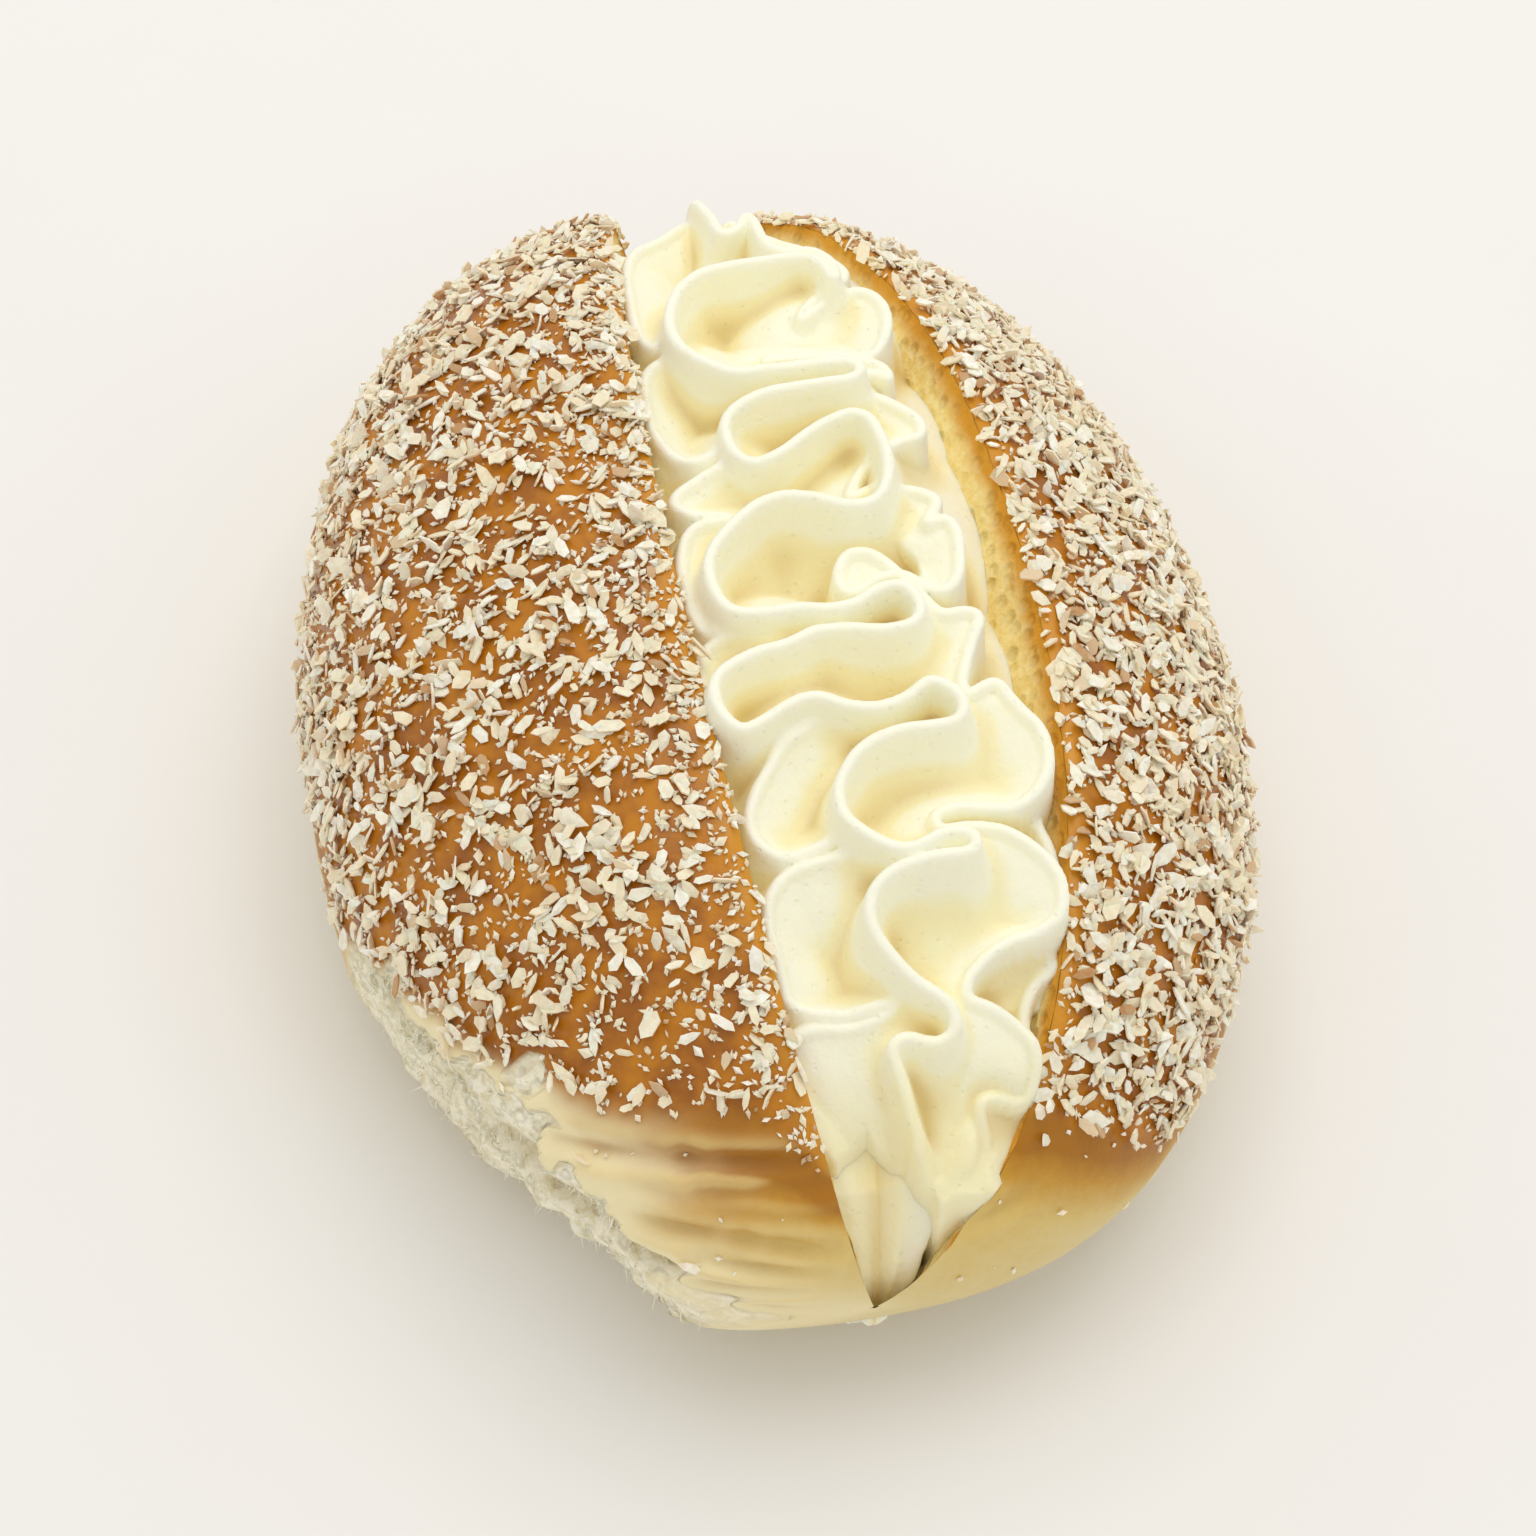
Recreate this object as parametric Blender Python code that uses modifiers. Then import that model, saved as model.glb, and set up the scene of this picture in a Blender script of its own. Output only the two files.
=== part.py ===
"""Coconut cream bun: an oval milk bun slit along its top, a rope of ruffled cream piped
down the slit, and glaze and desiccated coconut over the crown. Metres, +Z up, +Y along
the slit. The origin is under the middle of the bun, on the face that it rests on."""

import math

import bmesh
import bpy
import numpy as np
from mathutils import Matrix, Vector

# ---- the bun -------------------------------------------------------------------------
HALF_LENGTH = 0.0645  # middle to either end, along Y
LEFT_REACH = 0.0410  # crown line to the left flank
RIGHT_REACH = 0.0530  # crown line to the right flank, the half that is folded out
CROWN_X = -0.0034  # where the crown line runs
MIDDLE_X = 0.0026  # middle of the whole width, which becomes x = 0 at the end
EQUATOR_Z = 0.0162  # height of the widest section
CROWN_RISE = 0.0327  # crown above the widest section
BELLY_DROP = 0.0190  # round underside below the widest section, cut flat at the base
PLAN_POWER, PLAN_ROOT = 1.91, 2.45  # how blunt the ends are, seen from above
SIDE_POWER, SIDE_ROOT = 2.49, 2.24  # how blunt the ends are, seen from the side
SECTION_BULGE = 0.95  # exponents of the section: 1 is an ellipse
CROWN_BULGE = 1.02
BELLY_BULGE = 0.62

# ---- the slit ------------------------------------------------------------------------
LEFT_LIP, RIGHT_LIP = -0.0073, 0.0269  # lips at the middle section
LEFT_FOOT, RIGHT_FOOT = -0.0045, 0.0050  # the slit's floor at the middle section
SLIT_FLOOR_Z = 0.0090
WALL_BEND = 1.15  # exponent that bows the right wall
SLIT_LEAST = 0.21  # the slit's width at the ends, as a share of the middle
LIP_LEAST = 0.010  # least height of a lip above the floor

# ---- the torn side, where the next bun was pulled off ----------------------------------
TEAR_Y = (-0.068, -0.062, -0.056, -0.048, -0.037, -0.023, -0.014)  # stations along the torn face
TEAR_INSET = (-0.0010, 0.0010, 0.0047, 0.0062, 0.0039, 0.0011, -0.0020)  # its depth inside the flank
TEAR_FOOT_SHARE = 0.6  # share of that depth at TEAR_FOOT_Z, growing to all of it at TEAR_EDGE_Z
TEAR_FOOT_Z, TEAR_EDGE_Z = 0.0200, 0.0290
TEAR_UNDERCUT = 0.45  # slope of the torn face below its foot, back under the bun
TEAR_CRAG = 0.0008
CRAG_WAVES = ((410.0, 620.0, 0.4), (930.0, 310.0, 1.9), (1370.0, 1150.0, 4.1))

# ---- the cream -----------------------------------------------------------------------
CLEAR = 0.0005  # gap between cream and bread
MM = 0.001
# The rims of the rope's four upper fins. Each is a chain of (x, y) in millimetres from the near
# end to the far end, by turns at a pinch and at the bulge of a ruffle.
LEFT_FIN = (
    (-2.5, -56.7), (-3.2, -57.3), (-2.9, -55.2), (-5.6, -50.0), (6.1, -45.7), (-5.4, -38.8), (4.8, -30.5),
    (-4.8, -29.1), (3.7, -17.0), (-6.7, -11.7), (2.0, -7.4), (-6.9, 1.2), (-0.7, 6.5), (-6.2, 7.5),
    (1.4, 16.3), (-6.5, 17.9), (-0.2, 28.3), (-5.8, 41.8), (-2.0, 56.0),
)
TOP_FIN = (
    (3.3, -59.2), (2.3, -60.6), (4.4, -58.3), (2.4, -52.5), (10.1, -47.9), (2.6, -41.3), (14.6, -33.6),
    (2.5, -30.2), (16.9, -19.6), (-6.3, -19.5), (15.1, -7.7), (-4.4, -5.2), (15.5, 3.1), (-1.2, 2.9),
    (15.3, 19.1), (-2.5, 26.3), (11.3, 44.1), (4.5, 48.4), (5.0, 56.0),
)
RIGHT_FIN = (
    (7.6, -60.7), (10.5, -57.7), (11.3, -53.5), (16.1, -51.9), (11.5, -45.1), (21.0, -40.8), (11.6, -30.7),
    (22.5, -28.0), (19.0, -16.4), (21.5, -13.8), (8.9, -2.1), (19.6, -4.4), (10.6, 6.9), (19.8, 10.0),
    (9.6, 26.3), (19.8, 29.0), (13.4, 45.0), (12.0, 50.5), (8.0, 56.0),
)
OUTER_FIN = (
    (10.0, -57.9), (13.3, -55.7), (12.8, -51.6), (16.4, -49.7), (15.2, -44.0), (19.7, -44.4), (18.2, -38.9),
    (22.6, -34.3), (19.4, -28.9), (22.8, -12.6), (20.3, -6.3), (20.6, -5.2), (18.6, 1.6), (21.4, 8.6),
    (19.2, 17.2), (19.6, 18.7), (17.9, 30.2), (14.1, 46.2), (9.0, 55.5),
)
BULGE_RISE = (0.0090, 0.0130, 0.0090, 0.0050)  # fin rims above the rope's middle, at a bulge
PINCH_RISE = (0.0050, 0.0070, 0.0050, 0.0000)  # and at a pinch
ROPE_DROP = 0.0105  # rope's middle below the left lip
UNDERSIDE = ((0.008, -0.008), (-0.007, -0.008))  # the two hidden fins, from the rope's middle
VALLEY = 0.56  # valley between two fins, as a share of their reach
FIN_EDGE = 0.16  # half-width of a rim, as a share of half the distance to the next rim
FIN_CURVE = 1.8  # how fast a fin thickens towards its root
PINCH_PACE, BULGE_PACE = 0.45, 1.5  # pace along Y at a pinch and at a bulge
FILL_DROP = (0.0040, 0.0100)  # fill surface below the lips, at the left wall and at the right one
FILL_NEAR_Y, FILL_FAR_Y = -0.0560, 0.0570
TAIL_RADIUS = 0.0085
TAIL_PATH = (
    (0.0030, 0.0100, 0.0240), (0.0026, -0.0480, 0.0240), (0.0012, -0.0580, 0.0200), (0.0004, -0.0632, 0.0098),
)
CREAM_VOXEL = 0.0007
CREAM_TRIANGLES = 5000

# ---- the coconut ---------------------------------------------------------------------
FLAKES = 205
FLAKE_LENGTH = (0.0024, 0.0040)
FLAKE_WIDTH = (0.0012, 0.0019)
FLAKE_THICK = 0.0008
COAT_Z = 0.0235  # the coconut starts at this height
COAT_END_Y = -0.0500  # and stops short of the near end
LIP_MARGIN = 0.0030
SEED = 7


def clear_scene():
    for thing in list(bpy.data.objects):
        bpy.data.objects.remove(thing)


def material(name, colour, roughness):
    """A Principled material of one colour."""
    made = bpy.data.materials.new(name)
    made.use_nodes = True
    shader = made.node_tree.nodes["Principled BSDF"]
    shader.inputs["Base Color"].default_value = (*colour, 1.0)
    shader.inputs["Roughness"].default_value = roughness
    return made


# ---- shape of the bun ------------------------------------------------------------------
def width_scale(y):
    """Width of the section at y, as a share of the middle section's."""
    return np.clip(1 - np.abs(y / HALF_LENGTH) ** PLAN_POWER, 0, None) ** (1 / PLAN_ROOT)


def height_scale(y):
    return np.clip(1 - np.abs(y / HALF_LENGTH) ** SIDE_POWER, 0, None) ** (1 / SIDE_ROOT)


def crust_point(angle, y):
    """Point of the whole bun's skin; angle runs from +X over the crown."""
    across, up = np.cos(angle), np.sin(angle)
    reach = np.where(across < 0, LEFT_REACH, RIGHT_REACH)
    x = (CROWN_X + reach * np.sign(across) * np.abs(across) ** SECTION_BULGE) * width_scale(y)
    rise = CROWN_RISE * np.abs(up) ** CROWN_BULGE
    drop = -BELLY_DROP * np.abs(up) ** BELLY_BULGE
    z = EQUATOR_Z + np.where(up > 0, rise, drop) * height_scale(y)
    return np.stack([x, y, np.maximum(z, 0.0)], axis=-1)


def crown_height(x, y):
    """Height of the crown's skin above the point x, y."""
    wide = np.maximum(width_scale(y), 1e-6)
    across = x - CROWN_X * wide
    reach = np.where(across < 0, LEFT_REACH, RIGHT_REACH) * wide
    share = np.clip(np.abs(across) / reach, 0, 1) ** (1 / SECTION_BULGE)
    return EQUATOR_Z + CROWN_RISE * np.sqrt(1 - share**2) ** CROWN_BULGE * height_scale(y)


# ---- shape of the slit -----------------------------------------------------------------
def slit_wall(y, z, foot, lip, bend, highest=None):
    """x of a slit wall at height z: from foot on the floor to lip at the crown's skin."""
    scale = np.maximum(width_scale(y), SLIT_LEAST)
    lip_z = np.maximum(crown_height(lip * width_scale(y), y), SLIT_FLOOR_Z + LIP_LEAST)
    share = np.clip((z - SLIT_FLOOR_Z) / (lip_z - SLIT_FLOOR_Z), 0, highest)
    return scale * (foot + (lip - foot) * share**bend)


def left_wall(y, z, highest=None):
    return slit_wall(y, z, LEFT_FOOT, LEFT_LIP, 1.0, highest)


def right_wall(y, z, highest=None):
    return slit_wall(y, z, RIGHT_FOOT, RIGHT_LIP, WALL_BEND, highest)


def tear_edge(y, z):
    """x of the torn face: the left flank's outline, moved in by the inset for y and z and made craggy."""
    flank = (CROWN_X - LEFT_REACH) * width_scale(y)
    depth = np.interp(y, TEAR_Y, TEAR_INSET)
    rise = np.clip((z - TEAR_FOOT_Z) / (TEAR_EDGE_Z - TEAR_FOOT_Z), 0, 1.5)
    depth = depth * np.where(depth > 0, TEAR_FOOT_SHARE + (1 - TEAR_FOOT_SHARE) * rise, 1)
    undercut = TEAR_UNDERCUT * np.maximum(TEAR_FOOT_Z - z, 0) * np.clip(depth / 0.003, 0, 1)
    crag = sum(np.sin(a * y * 2 + c) * np.sin(b * z * 2 + 2 * c) for a, b, c in CRAG_WAVES)
    return flank + depth + undercut + TEAR_CRAG * crag * np.clip(depth / 0.002, 0, 1)


# ---- mesh helpers ----------------------------------------------------------------------
def points_of(thing):
    points = np.empty(len(thing.data.vertices) * 3)
    thing.data.vertices.foreach_get("co", points)
    return points.reshape(-1, 3)


def set_points(thing, points):
    thing.data.vertices.foreach_set("co", np.asarray(points, np.float32).ravel())
    thing.data.update()


def bent_sphere(name, segments, rings, shape):
    """A UV sphere with its vertices placed by shape(angle round the poles, share from pole to pole)."""
    bpy.ops.mesh.primitive_uv_sphere_add(segments=segments, ring_count=rings, radius=1)
    made = bpy.context.object
    made.name = name
    unit = points_of(made)
    angle = np.arctan2(unit[:, 1], unit[:, 0])
    share = 0.5 - np.arcsin(np.clip(unit[:, 2], -1, 1)) / math.pi
    set_points(made, shape(angle, share))
    return made


def bent_block(name, cuts, shape):
    """A cube cut into a grid, with its vertices placed by shape(a, b, c), each from 0 to 1."""
    bpy.ops.mesh.primitive_cube_add(size=1)
    made = bpy.context.object
    made.name = name
    mesh = bmesh.new()
    mesh.from_mesh(made.data)
    for axis, count in enumerate(cuts):
        along = [e for e in mesh.edges if abs((e.verts[0].co - e.verts[1].co)[axis]) > 0.5]
        bmesh.ops.subdivide_edges(mesh, edges=along, cuts=count, use_grid_fill=True)
    mesh.to_mesh(made.data)
    mesh.free()
    unit = points_of(made) + 0.5
    set_points(made, shape(unit[:, 0], unit[:, 1], unit[:, 2]))
    return made


def face_outwards(thing):
    mesh = bmesh.new()
    mesh.from_mesh(thing.data)
    bmesh.ops.recalc_face_normals(mesh, faces=mesh.faces)
    mesh.to_mesh(thing.data)
    mesh.free()


def apply_modifiers(thing):
    bpy.context.view_layer.update()
    graph = bpy.context.evaluated_depsgraph_get()
    finished = bpy.data.meshes.new_from_object(thing.evaluated_get(graph))
    thing.modifiers.clear()
    thing.data = finished


def keep_largest(thing):
    """Drops loose scraps, and the walls of sealed hollows, which leaves the outer body."""
    mesh = bmesh.new()
    mesh.from_mesh(thing.data)
    left = set(mesh.verts)
    bodies = []
    while left:
        body = {left.pop()}
        edge = list(body)
        while edge:
            around = {link.other_vert(vert) for vert in edge for link in vert.link_edges}
            edge = list(around - body)
            body |= around
        left -= body
        bodies.append(body)
    bodies.sort(key=len)
    scraps = [vert for body in bodies[:-1] for vert in body]
    bmesh.ops.delete(mesh, geom=scraps, context="VERTS")
    mesh.to_mesh(thing.data)
    mesh.free()


def put_in(collection, thing):
    for owner in list(thing.users_collection):
        owner.objects.unlink(thing)
    collection.objects.link(thing)


def new_collection(name):
    made = bpy.data.collections.new(name)
    bpy.context.scene.collection.children.link(made)
    return made


# ---- the bread -------------------------------------------------------------------------
def make_bun():
    """The whole bun, before it is slit: a sphere with its poles at the two ends."""

    def shape(angle, share):
        y = HALF_LENGTH * np.cos(math.pi * (1 - share))
        return crust_point(-angle, y)

    bun = bent_sphere("bun", 48, 32, shape)
    face_outwards(bun)
    return bun


def make_slit():
    """The wedge that opens the bun, from above the crown down to the slit's floor."""
    beyond = HALF_LENGTH + 0.010
    above = EQUATOR_Z + CROWN_RISE + 0.020

    def shape(across, along, up):
        y = beyond * np.sin(math.pi * (along - 0.5))
        z = SLIT_FLOOR_Z + (above - SLIT_FLOOR_Z) * up
        left, right = left_wall(y, z), right_wall(y, z)
        dip = 0.0012 * np.sin(math.pi * across) * (up < 0.01)
        return np.stack([left + (right - left) * across, y, z - dip], axis=-1)

    slit = bent_block("slit_cutter", (1, 23, 7), shape)
    face_outwards(slit)
    return slit


def make_tear():
    """The slab that leaves the torn face where it meets the bun's left flank."""
    outside = CROWN_X - LEFT_REACH - 0.015

    def shape(across, along, up):
        y = TEAR_Y[0] + (TEAR_Y[-1] - TEAR_Y[0]) * along
        z = -0.004 + (EQUATOR_Z + CROWN_RISE) * up
        inner = np.minimum(tear_edge(y, z), -0.008)
        return np.stack([outside + (inner - outside) * across, y, z], axis=-1)

    tear = bent_block("tear_cutter", (0, 28, 13), shape)
    face_outwards(tear)
    return tear


def cut(thing, cutter, collection):
    put_in(collection, cutter)
    cutter.hide_render = True
    cutter.display_type = "WIRE"
    step = thing.modifiers.new("cut " + cutter.name, "BOOLEAN")
    step.operation = "DIFFERENCE"
    step.solver = "EXACT"
    step.object = cutter


# ---- the coconut -----------------------------------------------------------------------
def coat_places(count):
    """Even places on the crown that the coconut covers, as (point, outward normal)."""
    turn = math.pi * (3 - math.sqrt(5))
    tried = count * 4
    index = np.arange(tried) + 0.5
    y = HALF_LENGTH * (1 - 2 * index / tried)
    angle = (index * turn) % (2 * math.pi)
    point = crust_point(angle, y)
    step = 1e-4
    along = crust_point(angle, y + step) - crust_point(angle, y - step)
    round_ = crust_point(angle + 0.01, y) - crust_point(angle - 0.01, y)
    normal = np.cross(round_, along)
    normal /= np.linalg.norm(normal, axis=1, keepdims=True) + 1e-12
    left, right = LEFT_LIP * width_scale(y) - LIP_MARGIN, RIGHT_LIP * width_scale(y) + LIP_MARGIN
    on_crust = (point[:, 0] < left) | (point[:, 0] > right)
    bare_end = COAT_END_Y - 0.006 * np.sin(point[:, 0] * 90)
    coated = (point[:, 2] > COAT_Z) & (y > bare_end) & (y < 0.96 * HALF_LENGTH)
    torn = (y < TEAR_Y[-1]) & (point[:, 0] < tear_edge(y, point[:, 2]) + 0.0015)
    kept = np.flatnonzero(coated & on_crust & ~torn)
    kept = kept[np.linspace(0, len(kept) - 1, count).astype(int)]
    return [(Vector(point[i]), Vector(normal[i])) for i in kept]


def make_flakes(collection):
    """The largest coconut flakes: chips with uneven corners, pressed into the crown."""
    random = np.random.default_rng(SEED)
    for number, (point, normal) in enumerate(coat_places(FLAKES)):
        size = Vector((random.uniform(*FLAKE_LENGTH), random.uniform(*FLAKE_WIDTH), FLAKE_THICK))
        bpy.ops.mesh.primitive_cube_add(size=1)
        flake = bpy.context.object
        flake.name = f"flake_{number:03d}"
        corners = points_of(flake) * (1 + random.uniform(-0.35, 0.15, (8, 3)))
        set_points(flake, corners * np.array(size))
        lie = normal.to_track_quat("Z", "Y").to_matrix().to_4x4()
        lie @= Matrix.Rotation(random.uniform(0, math.pi), 4, "Z")
        lie @= Matrix.Rotation(random.uniform(0.15, 0.5), 4, "Y")
        flake.matrix_world = Matrix.Translation(point + normal * 0.00035) @ lie
        put_in(collection, flake)


def join_flakes(bun):
    flakes = new_collection("coconut")
    make_flakes(flakes)
    apply_modifiers(bun)
    step = bun.modifiers.new("coconut", "BOOLEAN")
    step.operation = "UNION"
    step.operand_type = "COLLECTION"
    step.collection = flakes
    step.solver = "EXACT"
    apply_modifiers(bun)
    for flake in list(flakes.objects):
        bpy.data.objects.remove(flake)
    bpy.data.collections.remove(flakes)
    keep_largest(bun)


# ---- the cream -------------------------------------------------------------------------
def keep_clear(points):
    """Moves cream that would touch the bread back between the slit's walls."""
    x, y, z = np.array(points, float).T
    z = np.maximum(z, SLIT_FLOOR_Z + CLEAR)
    lowest, highest = left_wall(y, z, 1) + CLEAR, right_wall(y, z, 1) - CLEAR
    return np.stack([np.clip(x, lowest, np.maximum(highest, lowest + 1e-4)), y, z], axis=-1)


def fin_profile(off, valley=VALLEY, edge=FIN_EDGE):
    """Share of the full reach at off, which is 0 on a rim and 1 midway to the next one."""
    ramp = np.clip((1 - off) / (1 - edge), 0, 1) ** FIN_CURVE
    return valley + (1 - valley) * ramp


def rope_middle_z(y):
    """Height of the rope's middle: it follows the left lip."""
    return crown_height(LEFT_LIP * width_scale(y), y) - ROPE_DROP


def rim(chain, rises, place):
    """Point of a fin's rim at place, counted in half ruffles from the near end. Between a pinch and
    a bulge x and z ease in and out, while y moves slowly at the pinch and fast at the bulge."""
    chain = np.array(chain) * MM
    low = np.minimum(place.astype(int), len(chain) - 2)
    share = place - low
    ease = share * share * (3 - 2 * share)
    start, end = np.where(low % 2, BULGE_PACE, PINCH_PACE), np.where(low % 2, PINCH_PACE, BULGE_PACE)
    pace = (share**3 - 2 * share**2 + share) * start + ease + (share**3 - share**2) * end
    x = chain[low, 0] + (chain[low + 1, 0] - chain[low, 0]) * ease
    y = chain[low, 1] + (chain[low + 1, 1] - chain[low, 1]) * pace
    bulge = np.where(low % 2, 1 - ease, ease)
    z = rope_middle_z(y) + rises[0] + (rises[1] - rises[0]) * bulge
    return np.stack([x, y, z], axis=-1)


def make_rope():
    """The ruffled rope. Its section is a six-pointed star: four points follow the rims, two lie hidden
    underneath, and between two points the surface sinks towards the rope's middle."""
    chains = (LEFT_FIN, TOP_FIN, RIGHT_FIN, OUTER_FIN)
    last = len(TOP_FIN) - 1

    def shape(angle, share):
        place = share * last * 0.9999
        rims = [rim(c, (p, b), place) for c, p, b in zip(chains, PINCH_RISE, BULGE_RISE)]
        middle = sum(rims) / 4
        middle[:, 2] = rope_middle_z(middle[:, 1])
        rims += [middle + np.array([x, 0, z]) for x, z in UNDERSIDE]
        rims = np.stack(rims)
        turn = (angle / (2 * math.pi)) % 1 * len(rims)
        low = turn.astype(int) % len(rims)
        between = turn - turn.astype(int)
        row = np.arange(len(place))
        after = (low + 1) % len(rims)
        outer = rims[low, row] + (rims[after, row] - rims[low, row]) * between[:, None]
        close = np.clip(np.minimum(share * last / 1.2, (1 - share) * last / 1.2), 0, 1) ** 0.5
        reach = fin_profile(1 - np.abs(1 - 2 * between)) * close
        return keep_clear(middle + (outer - middle) * reach[:, None])

    return bent_sphere("ruffles", 96, 220, shape)


def make_tail():
    """The first pass of cream, low in the slit, which tapers to a point over the near end."""
    stops = np.linspace(0, 1, len(TAIL_PATH))
    path = np.array(TAIL_PATH)

    def shape(angle, share):
        centre = np.stack([np.interp(share, stops, path[:, i]) for i in range(3)], axis=-1)
        taper = np.clip((1 - share) / 0.33, 0, 1) ** 0.8 * np.clip(share * 30, 0, 1) ** 0.5
        off = np.abs((angle * 3 / math.pi) % 2 - 1)
        radius = (0.0003 + TAIL_RADIUS * taper) * fin_profile(off, 0.72)
        lean = np.clip((share - 0.60) / 0.4, 0, 1) * 0.9
        rise = np.sin(angle)
        side = np.stack([np.cos(angle), -rise * lean, rise * (1 - 0.5 * lean)], axis=-1)
        return keep_clear(centre + radius[:, None] * side)

    return bent_sphere("tail", 48, 60, shape)


def make_fill():
    """Cream that fills the slit from wall to wall, up to a little below the lips."""

    def shape(across, along, up):
        y = FILL_NEAR_Y + (FILL_FAR_Y - FILL_NEAR_Y) * along
        wide = width_scale(y)
        lips = np.minimum(crown_height(LEFT_LIP * wide, y), crown_height(RIGHT_LIP * wide, y))
        drop = FILL_DROP[0] + (FILL_DROP[1] - FILL_DROP[0]) * across
        top = lips - drop + 0.0012 * np.sin(y * 420) * np.sin(math.pi * across)
        low = SLIT_FLOOR_Z + CLEAR
        z = low + np.maximum(top - low, 0.004) * up
        left, right = left_wall(y, z, 1) + CLEAR, right_wall(y, z, 1) - CLEAR
        return np.stack([left + (right - left) * across, y, z], axis=-1)

    return bent_block("fill", (11, 40, 9), shape)


def make_cream():
    """One body of cream: the fill, the tail and the ruffled rope, melted together."""
    parts = [make_rope(), make_tail(), make_fill()]
    for part in parts:
        face_outwards(part)
    bpy.ops.object.select_all(action="DESELECT")
    for part in parts:
        part.select_set(True)
    bpy.context.view_layer.objects.active = parts[0]
    bpy.ops.object.join()
    cream = bpy.context.object
    cream.name = "cream"
    melt = cream.modifiers.new("melt", "REMESH")
    melt.mode = "VOXEL"
    melt.voxel_size = CREAM_VOXEL
    soften = cream.modifiers.new("soften", "SMOOTH")
    soften.factor = 0.5
    soften.iterations = 2
    apply_modifiers(cream)
    keep_largest(cream)
    triangles = sum(len(face.vertices) - 2 for face in cream.data.polygons)
    thin = cream.modifiers.new("thin", "DECIMATE")
    thin.ratio = CREAM_TRIANGLES / triangles
    apply_modifiers(cream)
    set_points(cream, keep_clear(points_of(cream)))
    return cream


def main():
    clear_scene()
    cutters = new_collection("cutters")
    cream_bun = new_collection("cream_bun")

    bun = make_bun()
    cut(bun, make_slit(), cutters)
    cut(bun, make_tear(), cutters)
    join_flakes(bun)
    bun.data.materials.clear()
    bun.data.materials.append(material("baked crust", (0.62, 0.33, 0.10), 0.45))
    put_in(cream_bun, bun)

    cream = make_cream()
    cream.data.materials.clear()
    cream.data.materials.append(material("whipped cream", (0.93, 0.89, 0.74), 0.4))
    put_in(cream_bun, cream)

    for thing in (bun, cream):
        set_points(thing, points_of(thing) - np.array([MIDDLE_X, 0, 0]))
        thing.data.shade_smooth()
        thing.data.set_sharp_from_angle(angle=math.radians(40))


main()
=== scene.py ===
"""Coconut cream bun: the baked bread with its cut and torn crumb, the coconut on its glazed crown
and the ruffled cream, in the row frame. Lengths in the tables are millimetres."""

import math
from itertools import product

import bpy
import numpy as np
from mathutils import Matrix, Vector


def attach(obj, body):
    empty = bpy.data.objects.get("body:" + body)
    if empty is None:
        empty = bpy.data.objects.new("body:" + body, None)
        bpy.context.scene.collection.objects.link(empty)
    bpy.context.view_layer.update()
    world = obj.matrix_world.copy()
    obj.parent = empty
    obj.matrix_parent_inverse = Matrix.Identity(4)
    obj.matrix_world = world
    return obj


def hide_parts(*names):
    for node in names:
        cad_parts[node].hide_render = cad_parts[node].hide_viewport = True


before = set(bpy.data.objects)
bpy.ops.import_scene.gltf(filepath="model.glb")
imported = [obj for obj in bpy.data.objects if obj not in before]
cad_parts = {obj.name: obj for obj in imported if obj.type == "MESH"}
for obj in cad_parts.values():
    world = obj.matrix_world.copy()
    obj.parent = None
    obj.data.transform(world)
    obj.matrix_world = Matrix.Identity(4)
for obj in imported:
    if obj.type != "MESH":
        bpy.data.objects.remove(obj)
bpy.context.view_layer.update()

MM = 0.001

# ---- bread ---------------------------------------------------------------------------
HALF_LENGTH = 64.5
LEFT_REACH, RIGHT_REACH = 41.0, 53.0
CROWN_X = -3.4
MIDDLE_X = 2.6
EQUATOR_Z = 16.2
CROWN_RISE = 32.7
BELLY_DROP = 19.0
PLAN_POWER, PLAN_ROOT = 1.91, 2.45
SIDE_POWER, SIDE_ROOT = 2.49, 2.24
SECTION_BULGE, CROWN_BULGE, BELLY_BULGE = 0.95, 1.02, 0.62
BREAD_RINGS = 306
SKIN_COLUMNS, RIGHT_WALL_COLUMNS, LEFT_WALL_COLUMNS = 214, 61, 30

# ---- slit ----------------------------------------------------------------------------
LEFT_LIP, RIGHT_LIP = -7.3, 26.9
LEFT_FOOT, RIGHT_FOOT = -4.5, 5.0
SLIT_FLOOR_Z = 9.0
WALL_BEND = 1.15
SLIT_LEAST = 0.21
LIP_LEAST = 10.0

# ---- torn side -----------------------------------------------------------------------
TEAR_Y = (-68, -62, -56, -48, -37, -23, -14)
TEAR_INSET = (-1.0, 0.8, 3.8, 5.0, 3.4, 1.0, -2.0)
TEAR_FOOT_SHARE = 0.6
TEAR_FOOT_Z, TEAR_EDGE_Z = 20.0, 29.0
TEAR_UNDERCUT = 0.45
TEAR_GAP, TEAR_GAP_Z = 3.2, 22.5
TEAR_CRAG = 1.6

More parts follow.
